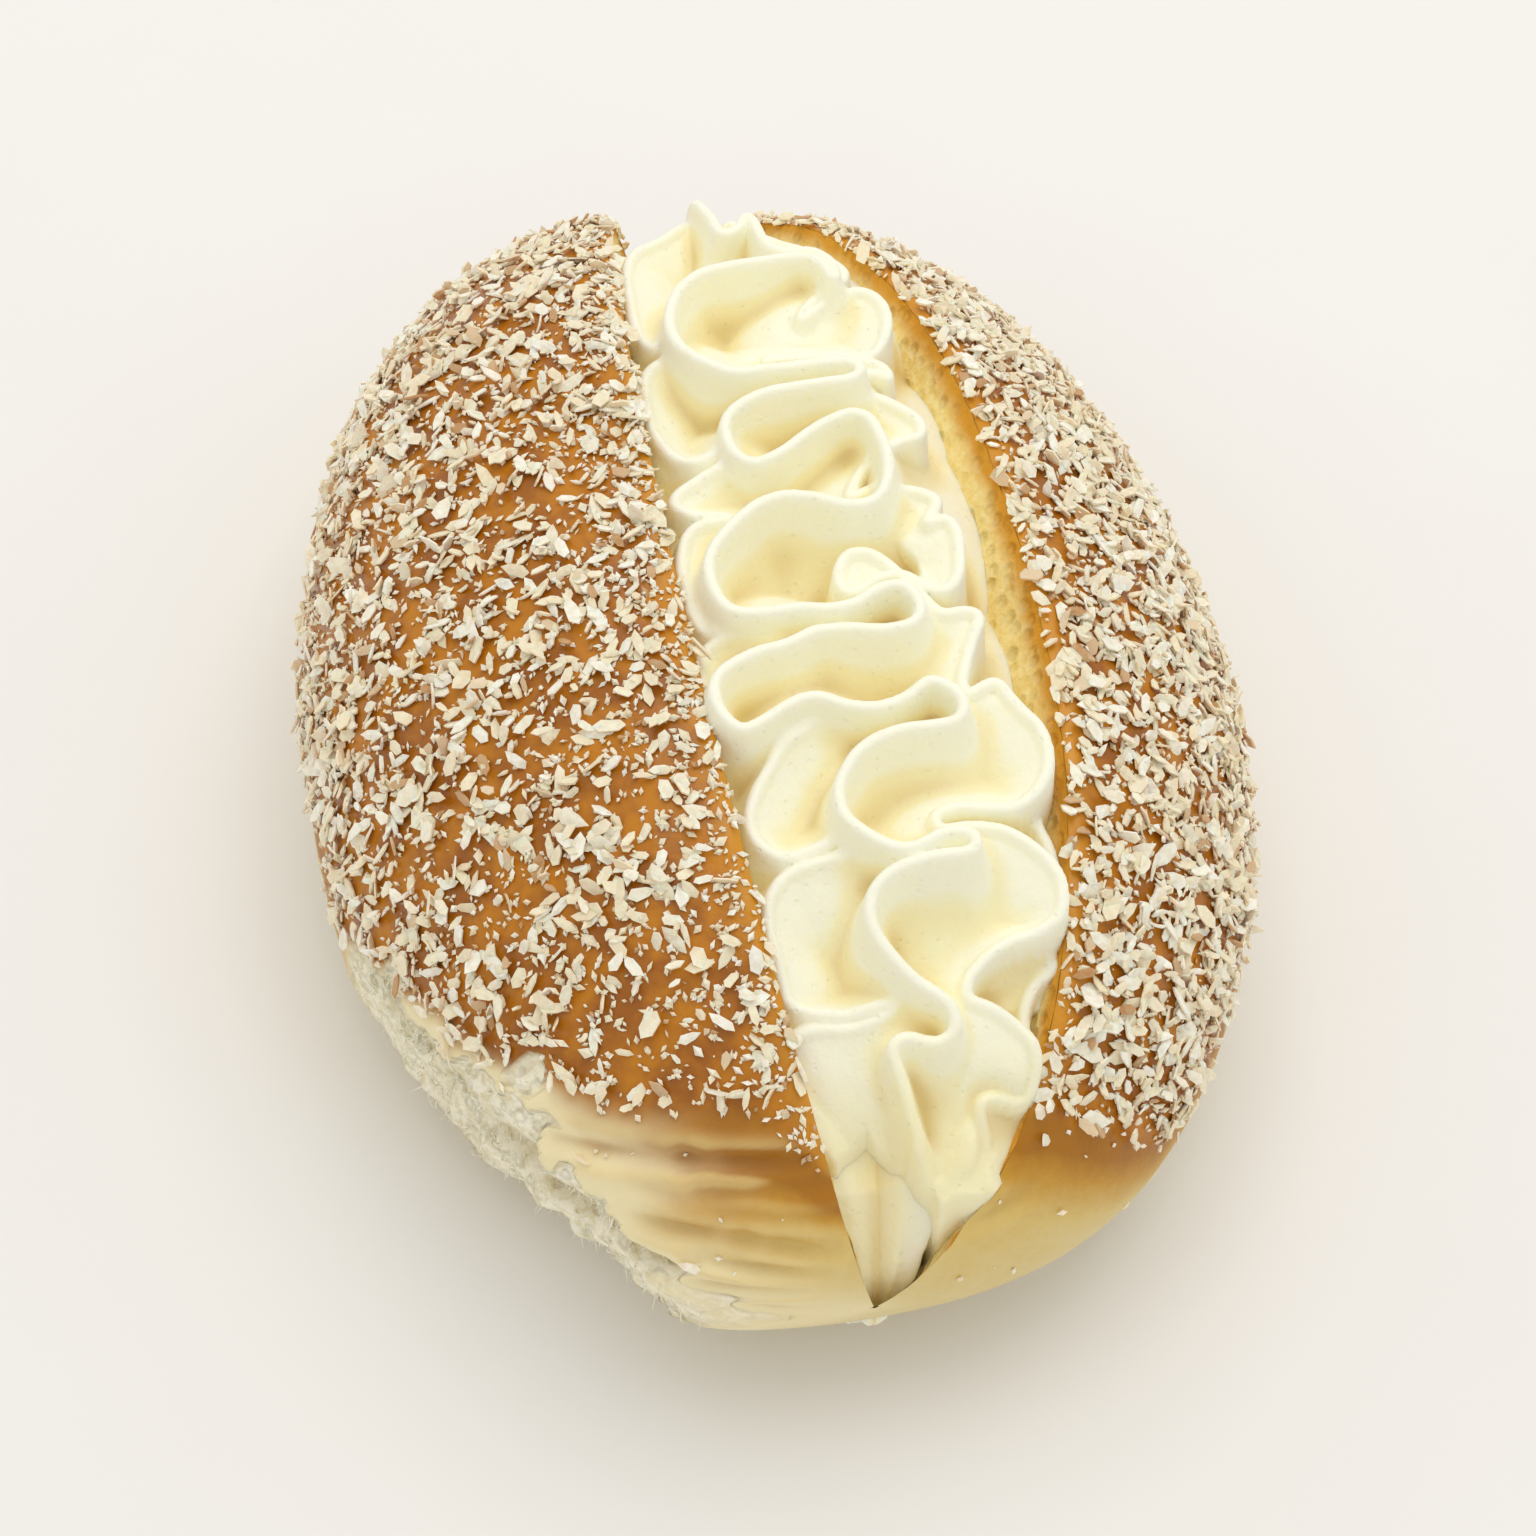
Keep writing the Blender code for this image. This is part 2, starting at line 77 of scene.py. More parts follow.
# Soft creases in the bare crust at the near end: start, end, depth and half-width.
CREASES = (
    ((-26.0, -49.0, 29.0), (-15.5, -55.0, 32.3), 1.0, 1.1),
    ((-15.5, -55.0, 32.3), (-5.0, -58.3, 33.2), 1.1, 1.0),
    ((-14.5, -57.0, 30.4), (-3.9, -59.6, 31.4), 0.8, 0.8),
    ((-20.5, -57.0, 26.5), (-11.5, -61.0, 26.8), 0.9, 0.9),
    ((-11.5, -61.0, 26.8), (-4.0, -63.0, 25.4), 1.0, 0.9),
    ((-15.0, -60.6, 24.6), (-4.6, -63.8, 23.0), 0.9, 0.8),
    ((-17.0, -61.0, 20.8), (-6.5, -63.8, 20.6), 0.8, 0.8),
    ((-12.5, -62.9, 18.5), (-3.0, -64.1, 17.5), 0.7, 0.9),
    ((14.5, -60.6, 26.0), (7.6, -62.4, 24.5), 0.6, 0.9),
)

# ---- cream ---------------------------------------------------------------------------
# The rims of the four upper fins seen from above, from the near end to the far end.
LEFT_FIN = (
    (-3.9, -57.2), (-5.5, -55.0), (-5.8, -52.2), (-6.0, -49.6), (-5.3, -48.4), (-3.3, -48.0), (-0.7, -48.3),
    (1.7, -48.4), (3.3, -47.9), (4.7, -47.4), (3.5, -47.1), (1.2, -47.3), (-1.4, -47.1), (-3.7, -46.5),
    (-4.8, -45.5), (-5.0, -44.1), (-5.2, -41.9), (-5.4, -39.8), (-5.2, -37.9), (-4.4, -36.4), (-2.9, -35.1),
    (-1.1, -34.6), (1.0, -34.4), (2.7, -34.2), (3.6, -33.5), (3.5, -32.8), (2.8, -32.5), (1.3, -32.8),
    (-0.6, -33.4), (-2.1, -33.6), (-3.3, -33.4), (-4.6, -32.4), (-5.3, -31.0), (-5.2, -29.4), (-4.6, -28.0),
    (-3.7, -26.5), (-2.3, -24.9), (-1.3, -23.5), (-0.2, -22.8), (1.2, -22.2), (2.5, -20.9), (2.6, -20.1),
    (1.9, -19.8), (0.8, -20.4), (-0.3, -21.3), (-1.8, -22.0), (-3.9, -22.6), (-5.9, -22.6), (-7.3, -21.3),
    (-7.5, -19.2), (-7.2, -16.6), (-6.8, -13.9), (-5.7, -11.7), (-3.0, -11.1), (-1.2, -12.0), (0.1, -12.4),
    (0.9, -11.5), (1.2, -10.1), (0.3, -9.2), (-1.9, -9.8), (-4.2, -10.5), (-5.8, -9.8), (-6.6, -7.1),
    (-6.7, -4.1), (-6.3, -1.2), (-5.5, 0.9), (-4.1, 2.2), (-2.4, 2.3), (-0.9, 2.4), (-2.3, 2.9),
    (-4.5, 3.6), (-5.8, 4.9), (-5.6, 6.2), (-3.6, 7.5), (-1.7, 8.6), (0.3, 9.4), (1.0, 10.8), (0.6, 12.1),
    (-0.9, 10.9), (-3.0, 10.0), (-4.7, 11.1), (-5.8, 13.4), (-6.4, 15.9), (-6.4, 18.6), (-6.1, 21.5),
    (-5.3, 23.6), (-3.9, 24.7), (-1.9, 24.8), (0.0, 23.5), (1.7, 21.7), (1.0, 23.4), (-0.8, 25.3),
    (-3.1, 26.3), (-4.9, 27.7), (-5.4, 30.8), (-5.2, 35.7), (-4.6, 41.4), (-3.2, 45.5), (0.0, 47.9),
    (3.4, 52.2), (6.1, 58.1),
)
TOP_FIN = (
    (3.5, -59.5), (4.3, -58.6), (4.4, -57.5), (3.9, -56.1), (3.7, -54.4), (3.2, -52.5), (3.1, -51.7),
    (3.7, -51.1), (4.8, -50.9), (5.9, -51.4), (7.3, -51.7), (8.5, -51.3), (9.0, -50.5), (8.9, -49.5),
    (8.3, -48.6), (7.1, -47.7), (5.6, -46.4), (4.2, -44.6), (3.3, -42.9), (3.1, -41.3), (3.7, -39.7),
    (4.9, -38.6), (6.5, -37.9), (8.4, -37.6), (10.1, -37.5), (11.8, -37.5), (13.0, -37.5), (13.6, -36.9),
    (13.4, -36.0), (12.4, -35.5), (11.0, -35.5), (10.0, -35.9), (8.7, -36.3), (7.5, -36.4), (6.3, -36.0),
    (5.2, -35.2), (3.8, -33.9), (2.8, -32.6), (2.5, -31.2), (2.8, -29.4), (4.0, -27.7), (5.5, -26.3),
    (7.8, -25.4), (9.6, -25.1), (11.9, -25.1), (13.6, -25.1), (14.8, -24.7), (15.3, -23.7), (15.2, -22.5),
    (14.2, -21.3), (12.8, -20.5), (10.9, -21.5), (8.9, -22.2), (6.9, -22.2), (5.0, -21.6), (3.2, -20.7),
    (1.5, -20.5), (-0.2, -21.0), (-1.8, -21.8), (-3.5, -22.6), (-4.8, -22.9), (-6.0, -21.6), (-6.5, -19.8),
    (-6.3, -18.1), (-5.4, -16.8), (-3.7, -15.8), (-1.5, -15.1), (0.5, -14.9), (2.1, -14.4), (3.8, -13.7),
    (5.1, -13.7), (7.1, -13.9), (9.1, -14.2), (11.1, -14.4), (13.0, -14.1), (13.8, -12.6), (13.6, -11.4),
    (12.6, -9.9), (11.1, -9.8), (9.7, -10.3), (8.2, -11.1), (6.1, -11.5), (2.8, -11.2), (-0.6, -11.2),
    (-3.0, -10.6), (-4.0, -9.3), (-4.5, -7.3), (-4.5, -5.3), (-3.9, -3.4), (-2.6, -1.7), (-1.1, -0.2),
    (1.4, 1.6), (3.3, 2.1), (5.1, 1.9), (7.1, 1.1), (8.9, -0.1), (10.8, -0.5), (12.8, 0.4), (14.0, 2.6),
    (14.5, 5.6), (14.2, 9.0), (13.2, 10.9), (11.1, 11.1), (7.5, 9.3), (4.7, 7.6), (2.2, 7.0), (0.8, 8.1),
    (0.2, 10.2), (0.3, 12.5), (1.6, 14.2), (4.2, 15.3), (7.2, 15.7), (10.2, 15.8), (13.1, 15.7),
    (14.5, 16.7), (13.8, 18.0), (10.8, 18.6), (6.8, 18.5), (3.3, 18.3), (0.9, 19.3), (-1.0, 21.2),
    (-2.3, 23.9), (-2.5, 27.4), (-1.3, 31.4), (0.8, 34.6), (3.6, 35.9), (8.2, 35.8), (12.3, 35.8),
    (14.2, 34.0), (14.8, 30.9), (15.2, 33.7), (13.7, 36.4), (11.0, 37.1), (9.5, 39.6), (9.1, 46.8),
    (7.4, 43.5), (5.6, 43.0), (5.3, 46.9), (4.9, 50.6), (4.5, 54.5),
)
RIGHT_FIN = (
    (4.4, -60.5), (5.8, -60.9), (8.1, -60.5), (9.7, -59.8), (10.5, -58.5), (10.9, -57.0), (10.5, -55.6),
    (10.6, -54.8), (11.4, -54.5), (12.5, -54.6), (14.0, -55.0), (15.0, -54.9), (15.6, -53.9), (16.0, -52.8),
    (15.9, -51.7), (15.1, -50.6), (13.7, -49.3), (12.1, -48.3), (11.0, -47.9), (10.7, -47.2), (11.1, -46.2),
    (12.2, -45.2), (14.0, -44.1), (15.8, -43.5), (18.1, -43.2), (20.0, -42.4), (20.7, -41.1), (20.9, -39.2),
    (20.1, -37.3), (18.8, -35.6), (17.1, -34.1), (15.0, -33.4), (13.0, -33.2), (11.6, -33.3), (10.9, -32.8),
    (11.1, -31.9), (12.4, -31.5), (13.7, -31.4), (15.7, -31.7), (17.7, -32.0), (19.2, -31.7), (21.1, -30.4),
    (22.2, -28.7), (22.6, -26.5), (22.2, -24.5), (21.2, -22.9), (20.4, -21.3), (19.8, -19.8), (19.2, -19.4),
    (17.8, -20.0), (16.5, -20.5), (16.3, -19.4), (17.1, -17.4), (18.2, -15.1), (19.5, -12.7), (18.4, -11.9),
    (16.2, -11.9), (14.9, -10.2), (13.2, -6.9), (11.6, -4.6), (10.1, -3.7), (8.7, -4.0), (7.7, -5.5),
    (7.6, -7.4), (8.8, -8.3), (11.3, -7.0), (13.7, -7.0), (15.6, -9.0), (17.3, -9.3), (18.5, -7.9),
    (19.2, -5.7), (19.6, -2.7), (18.9, -0.8), (17.0, -1.2), (18.1, 0.3), (18.7, 1.5), (17.3, 2.7),
    (15.0, 3.5), (12.7, 3.8), (10.5, 2.9), (12.4, 6.4), (14.4, 8.3), (16.9, 9.7), (18.9, 10.0),
    (19.4, 11.8), (18.3, 13.9), (16.7, 15.6), (15.1, 16.7), (14.0, 17.6), (15.2, 19.4), (17.0, 19.4),
    (17.8, 18.3), (17.6, 20.2), (16.1, 21.4), (12.7, 22.5), (8.8, 23.1), (6.0, 23.0), (8.9, 23.7),
    (12.8, 22.9), (16.0, 22.0), (17.6, 22.8), (18.8, 24.7), (19.5, 27.2), (19.3, 30.3), (17.9, 32.1),
    (15.6, 31.7), (13.5, 30.3), (10.9, 28.5), (12.7, 31.2), (15.6, 33.5), (17.1, 35.9), (16.4, 38.9),
    (14.4, 41.5), (12.0, 43.9), (10.0, 48.0), (8.0, 54.0),
)
OUTER_FIN = (
    (5.1, -61.9), (7.0, -61.4), (8.3, -60.2), (10.1, -58.9), (12.0, -57.4), (13.4, -55.9), (13.1, -55.1),
    (12.0, -53.8), (13.4, -53.6), (14.9, -52.9), (15.8, -50.6), (16.1, -47.9), (16.9, -46.4), (17.7, -45.5),
    (19.2, -44.9), (19.7, -44.1), (18.7, -42.7), (17.2, -41.4), (19.7, -40.0), (21.3, -37.1), (21.4, -34.4),
    (20.7, -31.9), (21.0, -30.7), (21.7, -29.1), (22.5, -26.3), (22.9, -23.2), (22.1, -19.3), (20.9, -16.2),
    (21.6, -13.7), (22.1, -10.8), (21.8, -9.3), (20.8, -9.0), (20.1, -7.7), (19.7, -6.1), (20.1, -2.7),
    (20.6, 1.0), (20.2, 3.6), (20.4, 7.5), (21.0, 11.4), (20.2, 14.3), (19.4, 17.3), (18.7, 21.2),
    (19.2, 25.8), (20.8, 31.5), (20.2, 36.0), (18.5, 40.0), (17.4, 44.6), (14.5, 49.5), (11.0, 54.0),
)
ROPE_DROP = 10.5
# For each fin, how high its rim stands over the rope's middle, how fast it sinks at the near end
# and how much lower it is at the far end.
FIN_RISE = (9.5, 12.5, 9.5, 5.0)
NEAR_SINK = (0.25, 0.1, 0.5, 0.4)
FAR_SINK = (0.0, 0.0, 0.0, 9.0)
RIM_STEPS, RIM_SOFT = 1500, 0.5
BEAD, FIN_BLEND = 0.62, 0.7
# How the surface falls from each rim: depth, reach, slope and curve on its left and on its right.
FIN_FALLS = (
    ((3.5, 1.0, 0.6, 0.0), (0.8, 1.0, 0.30, 0.08)),
    ((6.5, 1.0, 0.8, 0.0), (5.4, 1.1, 0.7, 0.0)),
    ((0.7, 1.0, 0.26, 0.07), (11.0, 0.7, 3.0, 0.0)),
    ((2.0, 1.3, 0.6, 0.0), (10.0, 0.7, 3.0, 0.0)),
)
NOSE_X, NOSE_Y = (-5.0, -2.5, 0.5, 3.5, 6.0), (-56.0, -56.6, -55.0, -58.4, -61.0)
WALL_GRIP = 0.35
FILL_ACROSS, FILL_DROP = (0.0, 0.05, 0.2, 1.0), (-0.6, 0.2, 5.0, 12.0)
FILL_NEAR_Y, FILL_FAR_Y = -62.5, 57.5
FILL_ROWS, FILL_COLUMNS = 545, 154
TAIL_RADIUS = 8.5
TAIL_RINGS, TAIL_COLUMNS = 190, 132
TAIL_PATH = ((3.0, 10.0, 24.0), (2.6, -50.0, 27.0), (1.0, -58.0, 22.5), (0.4, -63.2, 9.8))

# ---- coconut -------------------------------------------------------------------------
FLAKES = 5600
CRUMBS = 9000
FIBRES = 500
WISP_PLACES = ((-38.0, -33.5, 19.5), (-22.0, -56.0, 24.5))
SEED = 11


# ---- noise -----------------------------------------------------------------------------
def lattice(cell, seed):
    """A fixed number from -1 to 1 for each whole-number cell: its three indices hashed together."""
    h = cell[..., 0] * 374761393 + cell[..., 1] * 668265263 + cell[..., 2] * 1442695041 + seed * 974711
    h = (h ^ (h >> 13)) & 0xFFFFFFFF
    h = (h * 1274126177) & 0xFFFFFFFF
    h = (h ^ (h >> 16)) & 0xFFFFFFFF
    return (h & 0xFFFF) / 32767.5 - 1


def noise(points, size, seed=0, octaves=1):
    """Smooth noise from -1 to 1: lattice numbers `size` mm apart blended with 3t^2 - 2t^3 along each
    axis, plus half as much at half the size for each further octave."""
    total, weight = 0.0, 0.0
    for octave in range(octaves):
        place = np.asarray(points, float) / (size / 2**octave) + 31.7 * octave
        cell = np.floor(place).astype(np.int64)
        t = place - cell
        t = t * t * (3 - 2 * t)
        layer = 0.0
        for corner in product((0, 1), repeat=3):
            side = np.where(np.array(corner), t, 1 - t).prod(axis=-1)
            layer = layer + side * lattice(cell + np.array(corner), seed + octave)
        total = total + layer / 2**octave
        weight += 1 / 2**octave
    return total / weight


def smooth(value, low, high):
    """0 below low, 1 above high, and 3t^2 - 2t^3 between them."""
    t = np.clip((value - low) / (high - low), 0, 1)
    return t * t * (3 - 2 * t)


# ---- mesh making -----------------------------------------------------------------------
def put_mesh(name, points, faces, facts=None, flat=False):
    """A piece from points in mm, moved so that the bun's middle is x = 0, and arrays of corner
    numbers, one array for each count of corners. Its volume, the sum of p0 . (p1 x p2) / 6 over its
    triangles, tells whether the faces are to be turned outwards. Facts are numbers kept by point."""
    points = np.asarray(points, float) - np.array([MIDDLE_X, 0, 0])
    volume = 0.0
    for group in faces:
        for k in range(1, group.shape[1] - 1):
            a, b, c = points[group[:, 0]], points[group[:, k]], points[group[:, k + 1]]
            volume += np.einsum("ij,ij->", a, np.cross(b, c)) / 6
    if volume < 0:
        faces = [group[:, ::-1] for group in faces]
    mesh = bpy.data.meshes.new(name)
    mesh.vertices.add(len(points))
    mesh.vertices.foreach_set("co", (points * MM).astype(np.float32).ravel())
    corners = np.concatenate([group.ravel() for group in faces])
    sizes = np.concatenate([np.full(len(group), group.shape[1]) for group in faces])
    mesh.loops.add(len(corners))
    mesh.loops.foreach_set("vertex_index", corners.astype(np.int32))
    mesh.polygons.add(len(sizes))
    mesh.polygons.foreach_set("loop_start", (np.cumsum(sizes) - sizes).astype(np.int32))
    mesh.update(calc_edges=True)
    for fact, values in (facts or {}).items():
        layer = mesh.attributes.new(fact, "FLOAT", "POINT")
        layer.data.foreach_set("value", np.asarray(values, np.float32))
    if flat:
        mesh.shade_flat()
    else:
        mesh.shade_smooth()
    piece = bpy.data.objects.new(name, mesh)
    bpy.context.scene.collection.objects.link(piece)
    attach(piece, "root")
    return piece


def tube(name, rings, facts=None):
    """A closed tube from rings of points, rows by columns; each end closes on its ring's middle."""
    rows, columns, _ = rings.shape
    points = np.concatenate([rings.reshape(-1, 3), rings[0].mean(0)[None], rings[-1].mean(0)[None]])
    row, column = np.meshgrid(np.arange(rows - 1), np.arange(columns), indexing="ij")
    here, after = row * columns + column, row * columns + (column + 1) % columns
    quads = np.stack([here, here + columns, after + columns, after], axis=-1)
    ring, last = np.arange(columns), (rows - 1) * columns
    turn = (ring + 1) % columns
    near = np.stack([ring, turn, np.full(columns, rows * columns)], axis=-1)
    far = np.stack([last + turn, last + ring, np.full(columns, rows * columns + 1)], axis=-1)
    kept = {}
    for fact, values in (facts or {}).items():
        values = np.broadcast_to(values, (rows, columns))
        kept[fact] = np.concatenate([values.ravel(), [values[0].mean(), values[-1].mean()]])
    return put_mesh(name, points, [quads.reshape(-1, 4), np.concatenate([near, far])], kept)


# ---- shape of the bread ----------------------------------------------------------------
def width_scale(y):
    """Width of the section at y as a share of the middle's: (1 - |y/half length|^1.91)^(1/2.45)."""
    return np.clip(1 - np.abs(y / HALF_LENGTH) ** PLAN_POWER, 0, None) ** (1 / PLAN_ROOT)


def height_scale(y):
    """Height of the section at y as a share of the middle's: (1 - |y/half length|^2.49)^(1/2.24)."""
    return np.clip(1 - np.abs(y / HALF_LENGTH) ** SIDE_POWER, 0, None) ** (1 / SIDE_ROOT)


def crust_point(angle, y):
    """Skin of the whole bun: an oval section whose half-axes differ to the left, right, up and down,
    scaled by the width and height at y, and cut flat at z = 0."""
    across, up = np.cos(angle), np.sin(angle)
    reach = np.where(across < 0, LEFT_REACH, RIGHT_REACH)
    x = (CROWN_X + reach * np.sign(across) * np.abs(across) ** SECTION_BULGE) * width_scale(y)
    rise = CROWN_RISE * np.abs(up) ** CROWN_BULGE
    drop = -BELLY_DROP * np.abs(up) ** BELLY_BULGE
    z = EQUATOR_Z + np.where(up > 0, rise, drop) * height_scale(y)
    return np.stack(np.broadcast_arrays(x, y, np.maximum(z, 0.0)), axis=-1)


def crown_height(x, y):
    """Height of the crown's skin above x, y: the section's formula solved for z."""
    wide = np.maximum(width_scale(y), 1e-6)
    across = x - CROWN_X * wide
    reach = np.where(across < 0, LEFT_REACH, RIGHT_REACH) * wide
    share = np.clip(np.abs(across) / reach, 0, 1) ** (1 / SECTION_BULGE)
    return EQUATOR_Z + CROWN_RISE * np.sqrt(1 - share**2) ** CROWN_BULGE * height_scale(y)


def slit_wall(y, z, foot, lip, bend):
    """x of a slit wall: foot + (lip - foot) * share^bend, where share is the height from the slit's
    floor as a part of the lip's height."""
    wide = width_scale(y)
    lip_z = np.maximum(crown_height(lip * wide, y), SLIT_FLOOR_Z + LIP_LEAST)
    share = np.clip((z - SLIT_FLOOR_Z) / (lip_z - SLIT_FLOOR_Z), 0, 1)
    return np.maximum(wide, SLIT_LEAST) * (foot + (lip - foot) * share**bend)


def left_wall(y, z):
    """x of the slit's left wall."""
    return slit_wall(y, z, LEFT_FOOT, LEFT_LIP, 1.0)


def right_wall(y, z):
    """x of the slit's right wall."""
    return slit_wall(y, z, RIGHT_FOOT, RIGHT_LIP, WALL_BEND)


def tear_edge(points):
    """x of the torn face: the left flank moved in by an inset that follows y, grows upwards and has
    an undercut and a long gap below, plus crags of two sizes."""
    y, z = points[..., 1], points[..., 2]
    depth = np.interp(y, TEAR_Y, TEAR_INSET)
    rise = np.clip((z - TEAR_FOOT_Z) / (TEAR_EDGE_Z - TEAR_FOOT_Z), 0, 1.5)
    depth = depth * np.where(depth > 0, TEAR_FOOT_SHARE + (1 - TEAR_FOOT_SHARE) * rise, 1)
    undercut = TEAR_UNDERCUT * np.maximum(TEAR_FOOT_Z - z, 0) * np.clip(depth / 3, 0, 1)
    gap = TEAR_GAP_Z + 2.0 * noise(points * np.array([0, 1, 0]), 8, 27)
    undercut = undercut + TEAR_GAP * np.exp(-(((z - gap) / 1.8) ** 2)) * np.clip(depth / 3, 0, 1)
    crag = 1.3 * noise(points * np.array([0, 1, 1]), 5.5, 21, 2)
    crag = TEAR_CRAG * (crag + 0.9 * noise(points * np.array([0, 1, 0.8]), 2.0, 23, 2))
    flank = (CROWN_X - LEFT_REACH) * width_scale(y)
    return flank + depth + undercut + crag * np.clip(depth / 2, 0, 1)


def crust_normal(points):
    """Outward direction of the skin, taken from the oval: each coordinate over its half-axis squared."""
    x, y, z = np.moveaxis(points, -1, 0)
    reach = np.where(x < CROWN_X, LEFT_REACH, RIGHT_REACH)
    high = np.where(z > EQUATOR_Z, CROWN_RISE, EQUATOR_Z + 2)
    parts = [(x - CROWN_X) / reach**2, y**3 / HALF_LENGTH**4, (z - EQUATOR_Z) / high**2]
    direction = np.stack(parts, axis=-1)
    return direction / (np.linalg.norm(direction, axis=-1, keepdims=True) + 1e-9)


def crease_depth(points):
    """How far the creases press the skin in: for each one, its depth times exp(-(distance / width)^2),
    less a soft ridge beside it, fading towards its ends."""
    total = 0.0
    for start, end, depth, width in CREASES:
        start, run = np.array(start), np.array(end) - np.array(start)
        along = np.clip(((points - start) @ run) / (run @ run), 0, 1)
        away = np.linalg.norm(points - start - along[..., None] * run, axis=-1)
        away = away + 0.3 * noise(points, 6, 41)
        fade = np.sin(math.pi * (0.08 + 0.84 * along)) ** 0.5
        ridge = 0.45 * np.exp(-(((away - 2.1 * width) / width) ** 2))
        total = total + depth * fade * (np.exp(-((away / width) ** 2)) - ridge)
    return total


def coat_amount(points, low, high):
    """1 where coconut and glaze cover the skin, 0 where it is bare, with 3t^2 - 2t^3 from `low` to
    `high` over the edge. The edge is a height that climbs towards the near end, falls on the right
    half and along the left lip, and wavers."""
    x, y, z = np.moveaxis(points, -1, 0)
    edge = 21 + 0.45 * np.maximum(-y - 20, 0) - 0.9 * np.maximum(x - 10, 0)
    by_lip = np.exp(-(((x - LEFT_LIP * width_scale(y)) / 2.6) ** 2))
    edge = np.maximum(edge, 19.5) - 6.5 * by_lip + 2.2 * noise(points, 9, 51, 2)
    return smooth(z, edge + low, edge + high) * smooth(y, -62.5, -60.5)


def bread_columns():
    """Angles of the skin's columns from the left lip under the bun to the right lip, closest at the
    lips and widest underneath."""
    ends = []
    for lip, reach in ((LEFT_LIP, LEFT_REACH), (RIGHT_LIP, RIGHT_REACH)):
        share = (lip - CROWN_X) / reach
        ends.append(math.acos(math.copysign(abs(share) ** (1 / SECTION_BULGE), share)))
    angle = np.linspace(ends[0], ends[1] + 2 * math.pi, 4000)
    from_lip = np.minimum(angle - angle[0], angle[-1] - angle)
    pace = (1 + 5 * np.exp(-((from_lip / 0.05) ** 2))) * (1 - 0.72 * smooth(from_lip, 1.45, 2.0))
    total = np.cumsum(pace)
    return np.interp(np.linspace(total[0], total[-1], SKIN_COLUMNS), total, angle)


def bread_skin(y):
    """The skin from the left lip under the bun to the right lip, pushed along its normal by noise of
    three sizes less the creases and less 0.55 * (1 - d/1.3)^2 at distance d from a lip. Also d."""
    skin = crust_point(bread_columns()[None, :], y)
    step = np.linalg.norm(np.diff(skin, axis=1), axis=-1)
    from_left = np.concatenate([0 * y, np.cumsum(step, axis=1)], axis=1)
    from_lip = np.minimum(from_left, from_left[:, -1:] - from_left)
    relief = 0.45 * noise(skin, 24, 3) + 0.16 * noise(skin, 7, 4, 2) - crease_depth(skin)
    relief = relief - 0.55 * np.clip(1 - from_lip / 1.3, 0, 1) ** 2
    relief = relief + 0.22 * noise(skin, 1.6, 6) * np.exp(-from_lip / 1.5)
    relief = relief * smooth(skin[..., 2], 0.5, 5.0) * smooth(height_scale(y), 0.05, 0.4)
    return skin + crust_normal(skin) * relief[..., None], from_lip


def slit_side(y, lip, foot, bend, edge, count, seed):
    """One wall of the slit from lip to floor: x = wide * (foot + (lip - foot) * part^bend) with part
    the height above the floor, plus crumb noise. It starts at the skin's edge. Also the depth
    below the lip."""
    wide = width_scale(y)
    part = 1 - np.linspace(0, 1, count + 1)[None, 1:] ** 1.5
    top = crown_height(lip * wide, y)
    floor = np.maximum(SLIT_FLOOR_Z, EQUATOR_Z - (BELLY_DROP - 1.2) * height_scale(y))
    places = [wide * (foot + (lip - foot) * part**bend), y, floor + (top - floor) * part]
    wall = np.stack(np.broadcast_arrays(*places), axis=-1)
    pull = edge - np.concatenate([lip * wide, y, top], axis=1)
    near = smooth(-y, 30, 58)
    grain = 0.30 * noise(wall, 1.5, seed, 2) + (0.35 + 0.45 * near) * noise(wall, 4.2, seed + 3, 2)
    grain = grain * np.clip(0.25 + (1 - part) * 6, 0, 1) * smooth(wide, 0.05, 0.4)
    wall = wall + pull[:, None] * part[..., None] ** 3 + grain[..., None] * np.array([1.0, 0, 0.25])
    return wall, (1 - part) * (top - floor)


